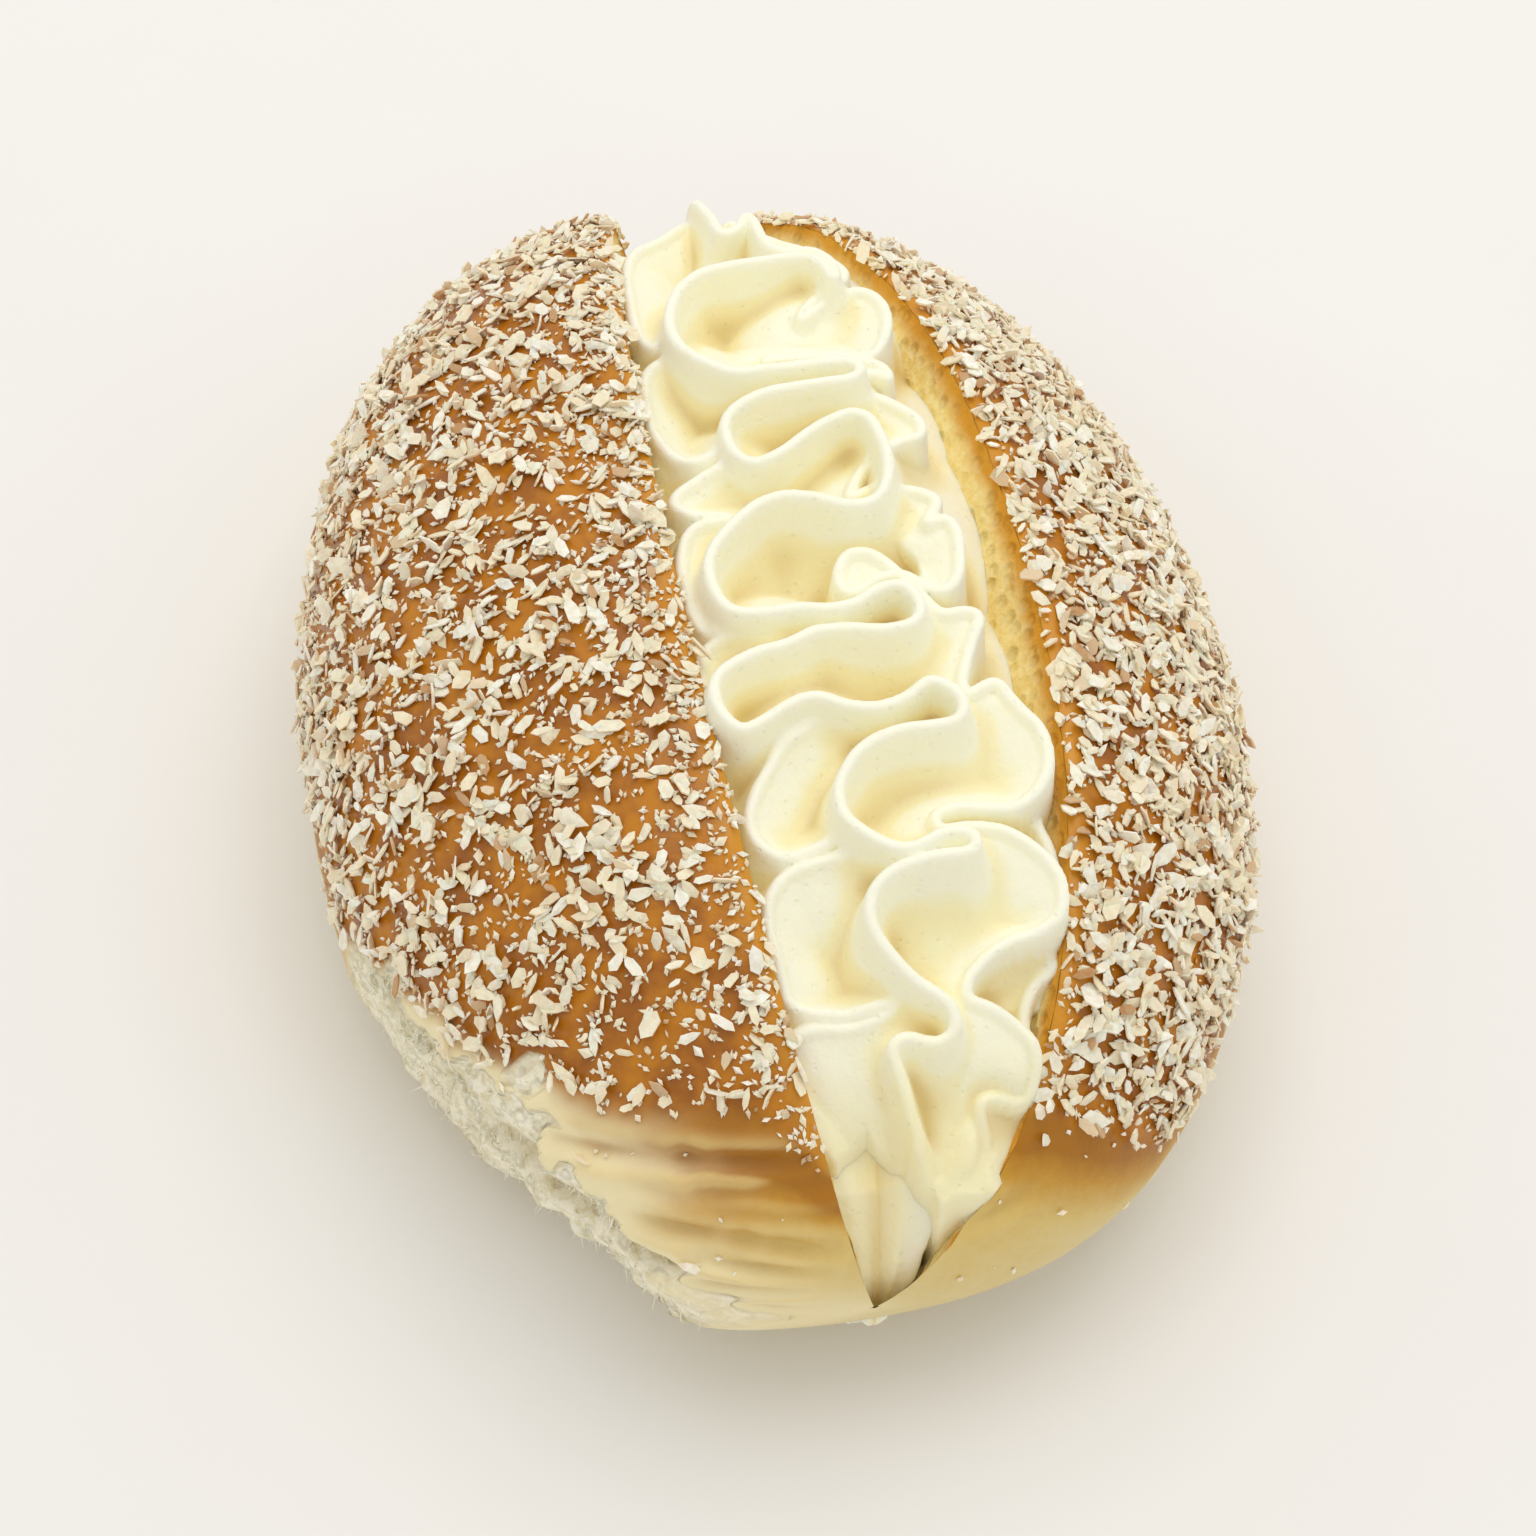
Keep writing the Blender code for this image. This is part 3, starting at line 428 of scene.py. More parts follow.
def bread_sections():
    """Rings of the bread along Y and what the finish needs to know of each point. A ring runs from
    the left lip round the skin to the right lip, down the right wall and up the left one. On the
    torn side the skin is moved in to x = tear_edge where it lies outside it."""
    y = HALF_LENGTH * np.sin(np.linspace(-0.4985, 0.4985, BREAD_RINGS) * math.pi)[:, None]
    skin, from_lip = bread_skin(y)
    right, right_deep = slit_side(
        y, RIGHT_LIP, RIGHT_FOOT, WALL_BEND, skin[:, -1], RIGHT_WALL_COLUMNS, 31
    )
    left, left_deep = slit_side(y, LEFT_LIP, LEFT_FOOT, 1.0, skin[:, 0], LEFT_WALL_COLUMNS, 37)
    inside = skin[..., 0] - tear_edge(skin)
    torn = np.clip(-inside, 0, None) * (skin[..., 0] < -8)
    by_tear = np.exp(-np.clip(inside, 0, None) / 4.5) * smooth(np.interp(y, TEAR_Y, TEAR_INSET), -1.5, 1.0)
    coat = coat_amount(skin, -1.2, 1.6) * (1 - smooth(torn, 0.05, 0.4))
    skin[..., 0] += torn
    ragged = smooth(torn, 0.05, 0.5 + 1.6 * smooth(-y, 56, 61))
    # Where the finish paints shade: the undercut gap below the torn crumb's upper edge.
    gap = ragged * np.exp(-(((skin[..., 2] - TEAR_GAP_Z) / 2.2) ** 2))
    left, left_deep = left[:, ::-1], left_deep[:, ::-1]
    deep = np.concatenate([torn, right_deep, left_deep], axis=1)
    away = np.concatenate([from_lip, right_deep, left_deep], axis=1)
    walls = 0 * np.concatenate([right_deep, left_deep], axis=1)
    on_skin = {
        "crease": np.clip(crease_depth(skin), -0.5, 1),
        "golden": coat_amount(skin, -15, 3),
        "coat": coat,
        "skin": 1 - ragged,
        "torn": ragged,
        "gap": gap,
        "by_tear": by_tear,
    }
    facts = {name: np.concatenate([values, walls], axis=1) for name, values in on_skin.items()}
    facts["deep"] = deep
    facts["by_lip"] = np.exp(-away / 3.0)
    return np.concatenate([skin, right, left], axis=1), facts, skin.shape[1]


# ---- coconut ---------------------------------------------------------------------------
def scatter(random, sections, weight, count):
    """Places on the grid of sections: a cell is drawn with a chance of its area times its weight, and
    the place in it is a blend of its corners. Gives the places and their outward normals."""
    a, b = sections[:-1, :-1], sections[1:, :-1]
    c, d = sections[:-1, 1:], sections[1:, 1:]
    normal = np.cross(b - a, c - a)
    area = np.linalg.norm(normal, axis=-1)
    chance = (area * weight[:-1, :-1]).ravel()
    cell = random.choice(len(chance), count, p=chance / chance.sum())
    u, v = random.random((2, count, 1))
    corners = [corner.reshape(-1, 3)[cell] for corner in (a, b, c, d)]
    near, far = corners[0] * (1 - v) + corners[2] * v, corners[1] * (1 - v) + corners[3] * v
    normal = (normal / (area[..., None] + 1e-12)).reshape(-1, 3)[cell]
    return near * (1 - u) + far * u, normal * np.sign(normal @ [0, 0, 1] + 1e-9)[:, None]


def axes_on(random, normal, tilt):
    """Three right-angled axes for each normal: the third leans away from it by about `tilt`, the
    first points a random way along the skin."""
    up = normal + tilt * random.normal(size=normal.shape)
    up = up / np.linalg.norm(up, axis=1, keepdims=True)
    along = np.cross(up, random.normal(size=normal.shape))
    along = along / np.linalg.norm(along, axis=1, keepdims=True)
    return along, np.cross(up, along), up


def make_flakes(random, sections, density):
    """Coconut flakes: six-sided chips with uneven corners at radius 0.72 to 1.16, curled along their
    length by x^2, thin at the edge. Each has a tone."""
    place, normal = scatter(random, sections, density, FLAKES)
    length = np.clip(random.normal(2.1, 0.55, FLAKES), 1.1, 3.7)
    width = length * random.uniform(0.34, 0.62, FLAKES)
    thick = random.uniform(0.22, 0.36, FLAKES)
    curl = random.normal(0.0, 0.35, FLAKES) * 0.5
    corner = np.arange(6) * math.pi / 3
    radius = random.uniform(0.72, 1.16, (FLAKES, 6))
    x = np.cos(corner) * radius * length[:, None] / 2
    y = np.sin(corner) * radius * width[:, None] / 2
    bend = (curl * 4 / length)[:, None] * (x / 2) ** 2
    local = np.zeros((FLAKES, 14, 3))
    local[:, :6] = np.stack([x, y, bend + 0.32 * thick[:, None]], axis=-1)
    local[:, 6:12] = np.stack([x * 0.96, y * 0.96, bend - 0.32 * thick[:, None]], axis=-1)
    local[:, 12, 2] = thick * 0.5
    local[:, 13, 2] = -thick * 0.5
    axes = np.stack(axes_on(random, normal, 0.42), axis=1)
    lift = 0.10 + 0.75 * random.random(FLAKES) ** 2 + thick / 2
    points = np.einsum("nki,nij->nkj", local, axes) + (place + normal * lift[:, None])[:, None]
    ring = np.arange(6)
    turn = (ring + 1) % 6
    top = np.stack([ring, turn, np.full(6, 12)], axis=-1)
    side_a = np.stack([ring, ring + 6, turn], axis=-1)
    side_b = np.stack([turn, ring + 6, turn + 6], axis=-1)
    under = np.stack([turn + 6, ring + 6, np.full(6, 13)], axis=-1)
    one = np.concatenate([top, side_a, side_b, under])
    faces = one[None] + 14 * np.arange(FLAKES)[:, None, None]
    tone = np.repeat(random.random(FLAKES), 14)
    return put_mesh("coconut_flakes", points.reshape(-1, 3), [faces.reshape(-1, 3)], {"tone": tone}, True)


def make_crumbs(random, sections, density):
    """Coconut crumbs: eight-sided grains, each an octahedron with three uneven half-axes."""
    place, normal = scatter(random, sections, density, CRUMBS)
    size = np.clip(random.normal(0.62, 0.2, CRUMBS), 0.25, 1.3)
    half = size[:, None] * random.uniform([0.5, 0.3, 0.22], [0.85, 0.5, 0.4], (CRUMBS, 3))
    signs = np.array([[1, 0, 0], [0, 1, 0], [-1, 0, 0], [0, -1, 0], [0, 0, 1], [0, 0, -1]])
    local = signs[None] * half[:, None] * random.uniform(0.75, 1.2, (CRUMBS, 6, 1))
    axes = np.stack(axes_on(random, normal, 0.5), axis=1)
    lift = half[:, 2] * 0.6 + 0.25 * random.random(CRUMBS) ** 2
    points = np.einsum("nki,nij->nkj", local, axes) + (place + normal * lift[:, None])[:, None]
    ring = np.arange(4)
    turn = (ring + 1) % 4
    top = np.stack([ring, turn, np.full(4, 4)], axis=-1)
    one = np.concatenate([top, np.stack([turn, ring, np.full(4, 5)], axis=-1)])
    faces = one[None] + 6 * np.arange(CRUMBS)[:, None, None]
    tone = np.repeat(random.random(CRUMBS), 6)
    return put_mesh("coconut_crumbs", points.reshape(-1, 3), [faces.reshape(-1, 3)], {"tone": tone}, True)


# ---- crumb fibres ----------------------------------------------------------------------
def make_fibres(random, sections, torn):
    """Wisps of crumb that stand off the torn face, most of them in two tufts: thin four-sided tubes
    along a drooping parabola, tapered to both ends."""
    weight = torn.copy()
    for tuft in WISP_PLACES:
        weight += 12 * torn * np.exp(-(((sections - np.array(tuft)) ** 2).sum(axis=-1) / 2.5**2))
    place, normal = scatter(random, sections, weight, FIBRES)
    rows, sides = 7, 4
    t = np.linspace(0, 1, rows)[None, :, None]
    length = 0.6 + 3.6 * random.uniform(0, 1, FIBRES)[:, None, None] ** 3
    run = random.normal(size=(FIBRES, 3)) * [0.3, 0.8, 0.8] + normal * 0.15
    run = run / np.linalg.norm(run, axis=1, keepdims=True)
    start = place - normal * 0.15 - run * length[:, 0] * 0.5
    line = start[:, None] + run[:, None] * length * t + normal[:, None] * 1.1 * t * (1 - t) * 2
    line = line - np.array([0, 0, 1]) * 0.12 * length * t**2
    width = random.uniform(0.05, 0.14, FIBRES)[:, None, None] * (4 * t * (1 - t) * 0.8 + 0.25)
    first, second, _ = axes_on(random, run, 0.05)
    turn = np.arange(sides) * 2 * math.pi / sides
    around = first[:, None, None] * np.cos(turn)[:, None] + second[:, None, None] * np.sin(turn)[:, None]
    points = line[:, :, None] + width[:, :, None] * around
    points = np.concatenate([points.reshape(FIBRES, -1, 3), line[:, :1], line[:, -1:]], axis=1)
    row, column = np.meshgrid(np.arange(rows - 1), np.arange(sides), indexing="ij")
    here, after = row * sides + column, row * sides + (column + 1) % sides
    quads = np.stack([here, here + sides, after + sides, after], axis=-1).reshape(-1, 4)
    ring, top, last = np.arange(sides), (rows - 1) * sides, rows * sides
    after = (ring + 1) % sides
    caps = np.concatenate([
        np.stack([ring, after, np.full(sides, last)], axis=-1),
        np.stack([top + after, top + ring, np.full(sides, last + 1)], axis=-1),
    ])
    step = points.shape[1] * np.arange(FIBRES)[:, None, None]
    faces = [(quads[None] + step).reshape(-1, 4), (caps[None] + step).reshape(-1, 3)]
    return put_mesh("torn_fibres", points.reshape(-1, 3), faces)


# ---- cream -----------------------------------------------------------------------------
def in_slit(points):
    """Points that lie in the bread beside the slit are moved to WALL_GRIP behind its wall; above the
    skin they may pass it by three times their height over it besides."""
    x, y, z = np.moveaxis(points, -1, 0)
    z = np.maximum(z, SLIT_FLOOR_Z - 0.3)
    spare = 3 * np.maximum(z - crown_height(x, y) + 0.3, 0) + WALL_GRIP
    low, high = left_wall(y, z) - spare, right_wall(y, z) + spare
    return np.stack([np.clip(x, np.minimum(low, high), high), y, z], axis=-1)


def rope_middle_z(y):
    """Height of the rope's middle: it follows the left lip, 10.5 mm lower."""
    return crown_height(LEFT_LIP * width_scale(y), y) - ROPE_DROP


def rim(chain, rise, sink, far_sink):
    """Rim of a fin in even steps. x and y are the cubic through the chain's points whose slopes
    come from their neighbours, z is `rise` over the rope's middle, less `sink` for each millimetre
    nearer than y = -52 and less `far_sink` beyond y = -12; then each point is the mean of its
    neighbours weighted by exp(-(distance / RIM_SOFT)^2 / 2)."""
    chain = np.array(chain)
    slope = np.gradient(chain, axis=0)
    place = np.linspace(0, len(chain) - 1, 16 * len(chain))
    low = np.minimum(place.astype(int), len(chain) - 2)
    t = (place - low)[:, None]
    ends = chain[low] + (chain[low + 1] - chain[low]) * t * t * (3 - 2 * t)
    flat = ends + (t**3 - 2 * t**2 + t) * slope[low] + (t**3 - t**2) * slope[low + 1]
    z = rope_middle_z(flat[:, 1]) + rise - sink * np.clip(-52 - flat[:, 1], 0, None)
    z = z - far_sink * smooth(flat[:, 1], -30, -12)
    points = np.concatenate([flat, z[:, None]], axis=1)
    along = np.concatenate([[0.0], np.cumsum(np.linalg.norm(np.diff(points, axis=0), axis=1))])
    even = np.linspace(0, along[-1], RIM_STEPS)
    path = np.stack([np.interp(even, along, column) for column in points.T], axis=-1)
    half = int(3 * RIM_SOFT / even[1])
    bell = np.exp(-0.5 * (np.arange(-half, half + 1) * even[1] / RIM_SOFT) ** 2)
    path = np.pad(path, ((half, half), (0, 0)), mode="edge")
    return np.stack([np.convolve(column, bell / bell.sum(), "valid") for column in path.T], axis=-1)


def fin_field(path, x, y, falls):
    """Height of one fin over a grid: the greatest, over the rim's points, of rim height - fall(d),
    where d is the distance seen from above and fall(d) = r * (1 - sqrt(1 - (d/r)^2))
    + a * (1 - exp(-(d - r) / b)) + c * (d - r) + e * (d - r)^2. Left and right of the nearest part
    of the rim a, b, c and e are others; tanh blends them over it."""
    run = np.gradient(path, axis=0)[:, :2]
    run = run / np.linalg.norm(run, axis=1, keepdims=True)
    height = np.zeros_like(x)
    for rows in np.array_split(np.arange(len(x)), 80):
        close = np.abs(path[:, 1] - y[rows].mean()) < 10
        rim_x, rim_y, rim_z = path[close].T
        gap_x, gap_y = x[rows][..., None] - rim_x, y[rows][..., None] - rim_y
        distance = np.hypot(gap_x, gap_y)
        aside = gap_x * run[close, 1] - gap_y * run[close, 0]
        least = distance.min(axis=-1, keepdims=True)
        weight = np.exp((least - distance) / 0.4)
        aside = (aside * weight).sum(axis=-1, keepdims=True) / weight.sum(axis=-1, keepdims=True)
        to_right = 0.5 + 0.5 * np.tanh(aside / 0.5)
        deep, reach, slope, curve = [left + (right - left) * to_right for left, right in zip(*falls)]
        past = np.clip(distance - BEAD, 0, None)
        rounded = BEAD * (1 - np.sqrt(1 - np.clip(distance / BEAD, 0, 1) ** 2))
        fall = rounded + deep * (1 - np.exp(-past / reach)) + (slope + curve * past) * past
        height[rows] = (rim_z - fall).max(axis=-1)
    return height


def blurred(field, reach):
    """Mean of the field over a square of 2 * reach + 1 cells, taken twice."""
    for axis in (0, 1, 0, 1):
        ends = [(reach + 1, reach) if axis == way else (0, 0) for way in (0, 1)]
        total = np.cumsum(np.pad(field, ends, mode="edge"), axis=axis)
        high = np.split(total, [2 * reach + 1], axis=axis)[1]
        low = total.take(range(field.shape[axis]), axis=axis)
        field = (high - low) / (2 * reach + 1)
    return field


def soft_max(first, second, width):
    """The greater of two heights, with h^2 / (4 * width) added where they differ by less than width."""
    blend = np.clip(width - np.abs(first - second), 0, None)
    return np.maximum(first, second) + blend * blend / (4 * width)


def make_ruffles():
    """The cream from wall to wall. Its top is the soft maximum of four fins and the fill between
    them; its rings then run down the right wall, over the floor and up the left wall."""
    y = np.linspace(FILL_NEAR_Y, FILL_FAR_Y, FILL_ROWS)[:, None]
    wide = width_scale(y)
    left_lip, right_lip = crown_height(LEFT_LIP * wide, y), crown_height(RIGHT_LIP * wide, y)
    left, right = left_wall(y, left_lip) - 2 * WALL_GRIP, right_wall(y, right_lip) + WALL_GRIP
    across = np.linspace(0, 1, FILL_COLUMNS)[None]
    x = left + (right - left) * across
    y = y + 0 * x
    place = np.stack([x, y, 0 * x], axis=-1)
    fill = np.minimum(left_lip, right_lip) - np.interp(across, FILL_ACROSS, FILL_DROP)
    top = fill + 0.4 * noise(place, 7, 71, 2)
    chains = (LEFT_FIN, TOP_FIN, RIGHT_FIN, OUTER_FIN)
    for number, chain in enumerate(chains):
        path = rim(chain, FIN_RISE[number], NEAR_SINK[number], FAR_SINK[number])
        wander = noise(path * [1, 1, 0], 10, 61 + number) * 0.7 + noise(path * [1, 1, 0], 2.5, 66) * 0.12
        path[:, 2] += wander
        top = soft_max(top, fin_field(path, x, y, FIN_FALLS[number]), FIN_BLEND)
    top = top + 0.10 * noise(place, 2.2, 73, 2)
    top = top + smooth(-y, 52, 57) * noise(place, 1.5, 65, 2) * 0.4
    nose = np.interp(x, NOSE_X, NOSE_Y) + 0.9 * noise(place, 2.0, 67, 2)
    top = top - 20 * smooth(nose - y, 0, 2.4) - 12 * smooth(y, 52, FILL_FAR_Y) ** 2
    top = top + 0.6 * np.clip(blurred(top, 4) - top - 0.08, 0, None)
    # Where the cream's finish paints shade: how far the top lies below its blur, and the near end, which
    # faces away from the window.
    hollow = np.clip(blurred(top, 8) - top, 0, 2) + 0.8 * smooth(-y, 46, 60)
    top = np.maximum(top, SLIT_FLOOR_Z + 2)
    low = SLIT_FLOOR_Z - 0.2
    down = np.linspace(0, 1, 10)[None, 1:]
    right_z = top[:, -1:] + (low - top[:, -1:]) * down
    left_z = low + (top[:, :1] - low) * down[:, :-1]
    parts = ((x, top), (right, right_z), (left, left_z))
    points = [np.stack([across + 0 * z, y[:, :1] + 0 * z, z], axis=-1) for across, z in parts]
    points = in_slit(np.concatenate(points, axis=1))
    hollow = np.concatenate([hollow, 0 * right_z, 0 * left_z], axis=1)
    return tube("cream_ruffles", points, {"hollow": hollow})


def make_tail():
    """The first pass of cream, low in the slit: a tube along TAIL_PATH with four grooves round it
    that tapers to a point over the near end, of radius
    (0.3 + 8.5 * taper) * (0.62 + 0.38 * (1 - off)^1.8) with off the distance from a ridge."""
    share = np.linspace(0, 1, TAIL_RINGS)[:, None]
    angle = (np.arange(TAIL_COLUMNS) / TAIL_COLUMNS * 2 * math.pi)[None]
    stops = np.linspace(0, 1, len(TAIL_PATH))
    path = np.array(TAIL_PATH)
    centre = np.stack([np.interp(share, stops, path[:, i]) for i in range(3)], axis=-1)
    taper = np.clip((1 - share) / 0.33, 0, 1) ** 0.8 * np.clip(share * 30, 0, 1) ** 0.5
    off = np.abs((angle * 4 / math.pi) % 2 - 1)
    radius = (0.3 + TAIL_RADIUS * taper) * (0.62 + 0.38 * (1 - off) ** 1.8)
    lean = np.clip((share - 0.60) / 0.4, 0, 1) * 0.9
    rise = np.sin(angle)
    side = np.stack(np.broadcast_arrays(np.cos(angle), -rise * lean, rise * (1 - 0.5 * lean)), axis=-1)
    points = centre + radius[..., None] * side
    groove = 0.22 * np.sin(angle * 17 + 2 * noise(points, 9, 81)) + 0.35 * noise(points, 2.6, 83, 2)
    points = points + (groove * np.clip(radius / 4, 0, 1))[..., None] * side
    # The tail's painted shade: light on its ridges, darker into its four grooves.
    return tube("cream_tail", in_slit(points), {"hollow": 0.3 + 1.4 * off**2 + 0 * radius})


# ---- finishes --------------------------------------------------------------------------
class Value:
    """A socket that takes part in sums: the operators add Math nodes to its finish."""

    def __init__(self, finish, socket):
        self.finish, self.socket = finish, socket

    def maths(self, operation, first, second=0.0):
        node = self.finish.add("ShaderNodeMath", {"operation": operation}, {0: first, 1: second})
        return Value(self.finish, node.outputs[0])

    def __add__(self, other):
        return self.maths("ADD", self, other)

    def __radd__(self, other):
        return self.maths("ADD", other, self)

    def __sub__(self, other):
        return self.maths("SUBTRACT", self, other)

    def __rsub__(self, other):
        return self.maths("SUBTRACT", other, self)

    def __mul__(self, other):
        return self.maths("MULTIPLY", self, other)

    def __rmul__(self, other):
        return self.maths("MULTIPLY", other, self)

    def ramp(self, low, high):
        """0 at low and 1 at high, smooth between."""
        inputs = {"Value": self, "From Min": low, "From Max": high}
        node = self.finish.add("ShaderNodeMapRange", {"interpolation_type": "SMOOTHSTEP"}, inputs)
        return Value(self.finish, node.outputs[0])


class Finish:
    """A material with one Principled shader: constants go on its sockets, Values are linked to them."""

    def __init__(self, name, constants):
        self.material = bpy.data.materials.new(name)
        self.material.use_nodes = True
        self.nodes = self.material.node_tree.nodes
        self.links = self.material.node_tree.links
        self.shader = self.nodes["Principled BSDF"]
        self.object_place = self.add("ShaderNodeTexCoord").outputs["Object"]
        self.fill(self.shader, constants)

    def add(self, kind, settings=None, inputs=None):
        """A node of this kind with its settings made first, ramp stops among them, then its inputs."""
        node = self.nodes.new(kind)
        for key, setting in (settings or {}).items():
            if key == "stops":
                stops = node.color_ramp.elements
                while len(stops) < len(setting):
                    stops.new(0.5)
                for stop, (position, colour) in zip(stops, setting):
                    stop.position = position
                    stop.color = colour
            else:
                setattr(node, key, setting)
        self.fill(node, inputs or {})
        return node

    def fill(self, node, inputs):
        for key, value in inputs.items():
            if isinstance(value, Value):
                self.links.new(value.socket, node.inputs[key])
            elif isinstance(value, bpy.types.NodeSocket):
                self.links.new(value, node.inputs[key])
            else:
                node.inputs[key].default_value = value

    def fact(self, name):
        """A number kept for each point of the piece."""
        return Value(self, self.add("ShaderNodeAttribute", {"attribute_name": name}).outputs["Fac"])

    def height(self):
        """Height above the floor in mm."""
        split = self.add("ShaderNodeSeparateXYZ", None, {0: self.object_place})
        return Value(self, split.outputs["Z"]) * 1000.0

    def grain(self, size, detail=2.0, rough=0.55):
        """Noise from 0 to 1 with features `size` mm long."""
        inputs = {"Vector": self.object_place, "Scale": 1000.0 / size, "Detail": detail, "Roughness": rough}
        return Value(self, self.add("ShaderNodeTexNoise", None, inputs).outputs[0])

    def cells(self, size):
        """Distance to the nearest of scattered points about `size` mm apart, as a share of it."""
        inputs = {"Vector": self.object_place, "Scale": 1000.0 / size}
        return Value(self, self.add("ShaderNodeTexVoronoi", None, inputs).outputs["Distance"])

    def blend(self, share, first, second):
        """Colour that goes from first to second as share goes from 0 to 1."""
        node = self.add("ShaderNodeMix", {"data_type": "RGBA"}, {0: share, 6: first, 7: second})
        return node.outputs[2]

    def bump(self, height, size):
        """A normal for heights from 0 to 1 that stand for `size` mm."""
        node = self.add("ShaderNodeBump", None, {"Height": height, "Distance": size * MM})
        return node.outputs["Normal"]

    def finish(self, **varying):
        """Links the varying inputs and gives the material."""
        self.fill(self.shader, {key.replace("_", " "): value for key, value in varying.items()})
        return self.material


def tint(red, green, blue):
    """A colour from screen values, 0 to 255, made linear: ((c + 0.055) / 1.055)^2.4."""
    parts = [((c / 255 + 0.055) / 1.055) ** 2.4 for c in (red, green, blue)]
    return (*parts, 1.0)


def crust_finish():
    """Baked skin from cream yellow at the foot over tan to golden brown on top, glazed where the
    coconut lies; behind the skin a brown band and then pale crumb with pores. Painted shade darkens
    the creases, the pores and the gap under the torn crumb's edge; a painted highlight pales the
    ridges beside the creases."""
    skin = Finish("baked crust and crumb", {"Specular IOR Level": 0.3, "Coat Roughness": 0.12})
    deep, coat, by_lip = skin.fact("deep"), skin.fact("coat"), skin.fact("by_lip")
    outside, torn, by_tear = skin.fact("skin"), skin.fact("torn"), skin.fact("by_tear")
    wide_noise, mid_noise, fine_noise = skin.grain(16.0), skin.grain(4.5, 3.0), skin.grain(1.1, 3.0)
    bake = (skin.height() + (wide_noise - 0.5) * 16.0 + (mid_noise - 0.5) * 5.0).ramp(2.0, 56.0)
    bake = bake + skin.fact("golden") * 0.85 + (fine_noise - 0.5) * 0.16
    bare = skin.add("ShaderNodeValToRGB", {"stops": (
        (0.0, tint(232, 218, 168)),
        (0.35, tint(223, 194, 116)),
        (0.7, tint(202, 150, 50)),
        (1.0, tint(172, 112, 18)),
    )}, {0: bake}).outputs[0]
    bare = skin.blend((by_tear + (mid_noise - 0.5) * 0.2).ramp(0.0, 1.0), bare, tint(248, 234, 188))
    crease = skin.fact("crease")
    # Painted highlight: the ridge beside each crease is paler. In the crease the crust is darker brown,
    # partly its own colour and partly painted shade.
    bare = skin.blend((crease * -1).ramp(0.05, 0.9), bare, tint(238, 210, 138))
    bare = skin.blend(crease.ramp(0.25, 1.5), bare, tint(160, 104, 34))
    under = skin.blend(mid_noise.ramp(0.35, 0.65), tint(196, 126, 22), tint(158, 92, 10))
    under = skin.blend(by_lip.ramp(0.25, 0.9), under, tint(210, 144, 34))
    outer = skin.blend(coat, bare, under)
    pores = skin.cells(1.9).ramp(0.05, 0.5) * 0.6 + fine_noise * 0.4
    band = (deep + (mid_noise - 0.5) * 2.2).ramp(0.4, 3.0)
    crumb = skin.blend(fine_noise.ramp(0.3, 0.7), tint(238, 212, 134), tint(248, 230, 166))
    # Painted shade: the crumb is darker in the pores' hollows.
    crumb = skin.blend(pores.ramp(0.12, 0.42), tint(232, 204, 128), crumb)
    inner = skin.blend(band, tint(216, 154, 46), crumb)
    rag = skin.blend(skin.grain(1.4, 4.0, 0.65).ramp(0.3, 0.6), tint(228, 216, 178), tint(255, 249, 226))
    # Painted shade in that gap below the torn crumb's upper edge.
    rag = skin.blend(skin.fact("gap") * 0.7, rag, tint(192, 174, 124))
    inner = skin.blend(torn.ramp(0.0, 0.2), inner, rag)
    colour = skin.blend(outside, inner, outer)
    crumb_height = pores * (1 - outside)
    normal = skin.bump(crumb_height * 0.9 + fine_noise * 0.12 + skin.grain(0.45) * 0.06, 0.9)
    glaze = outside * coat * mid_noise.ramp(0.3, 0.6)
    rough = 0.85 - outside * 0.40 - glaze * 0.18
    return skin.finish(Base_Color=colour, Roughness=rough, Coat_Weight=glaze * 0.2, Normal=normal)


def coconut_finish(name):
    """Dried coconut: white to pinkish grey, a few chips toasted at random."""
    chip = Finish(name, {"Specular IOR Level": 0.4, "Subsurface Weight": 0.2, "Subsurface Scale": 0.0008})
    tone = chip.fact("tone")
    pale = chip.blend(tone.ramp(0.0, 0.7), tint(255, 251, 238), tint(249, 236, 206))
    colour = chip.blend(tone.ramp(0.9, 1.0), pale, tint(190, 142, 88))
    grain = chip.grain(0.7, 2.0)
    colour = chip.blend(grain.ramp(0.3, 0.7) * 0.35, colour, tint(222, 196, 156))
    return chip.finish(Base_Color=colour, Roughness=0.5 + grain * 0.25, Normal=chip.bump(grain, 0.12))


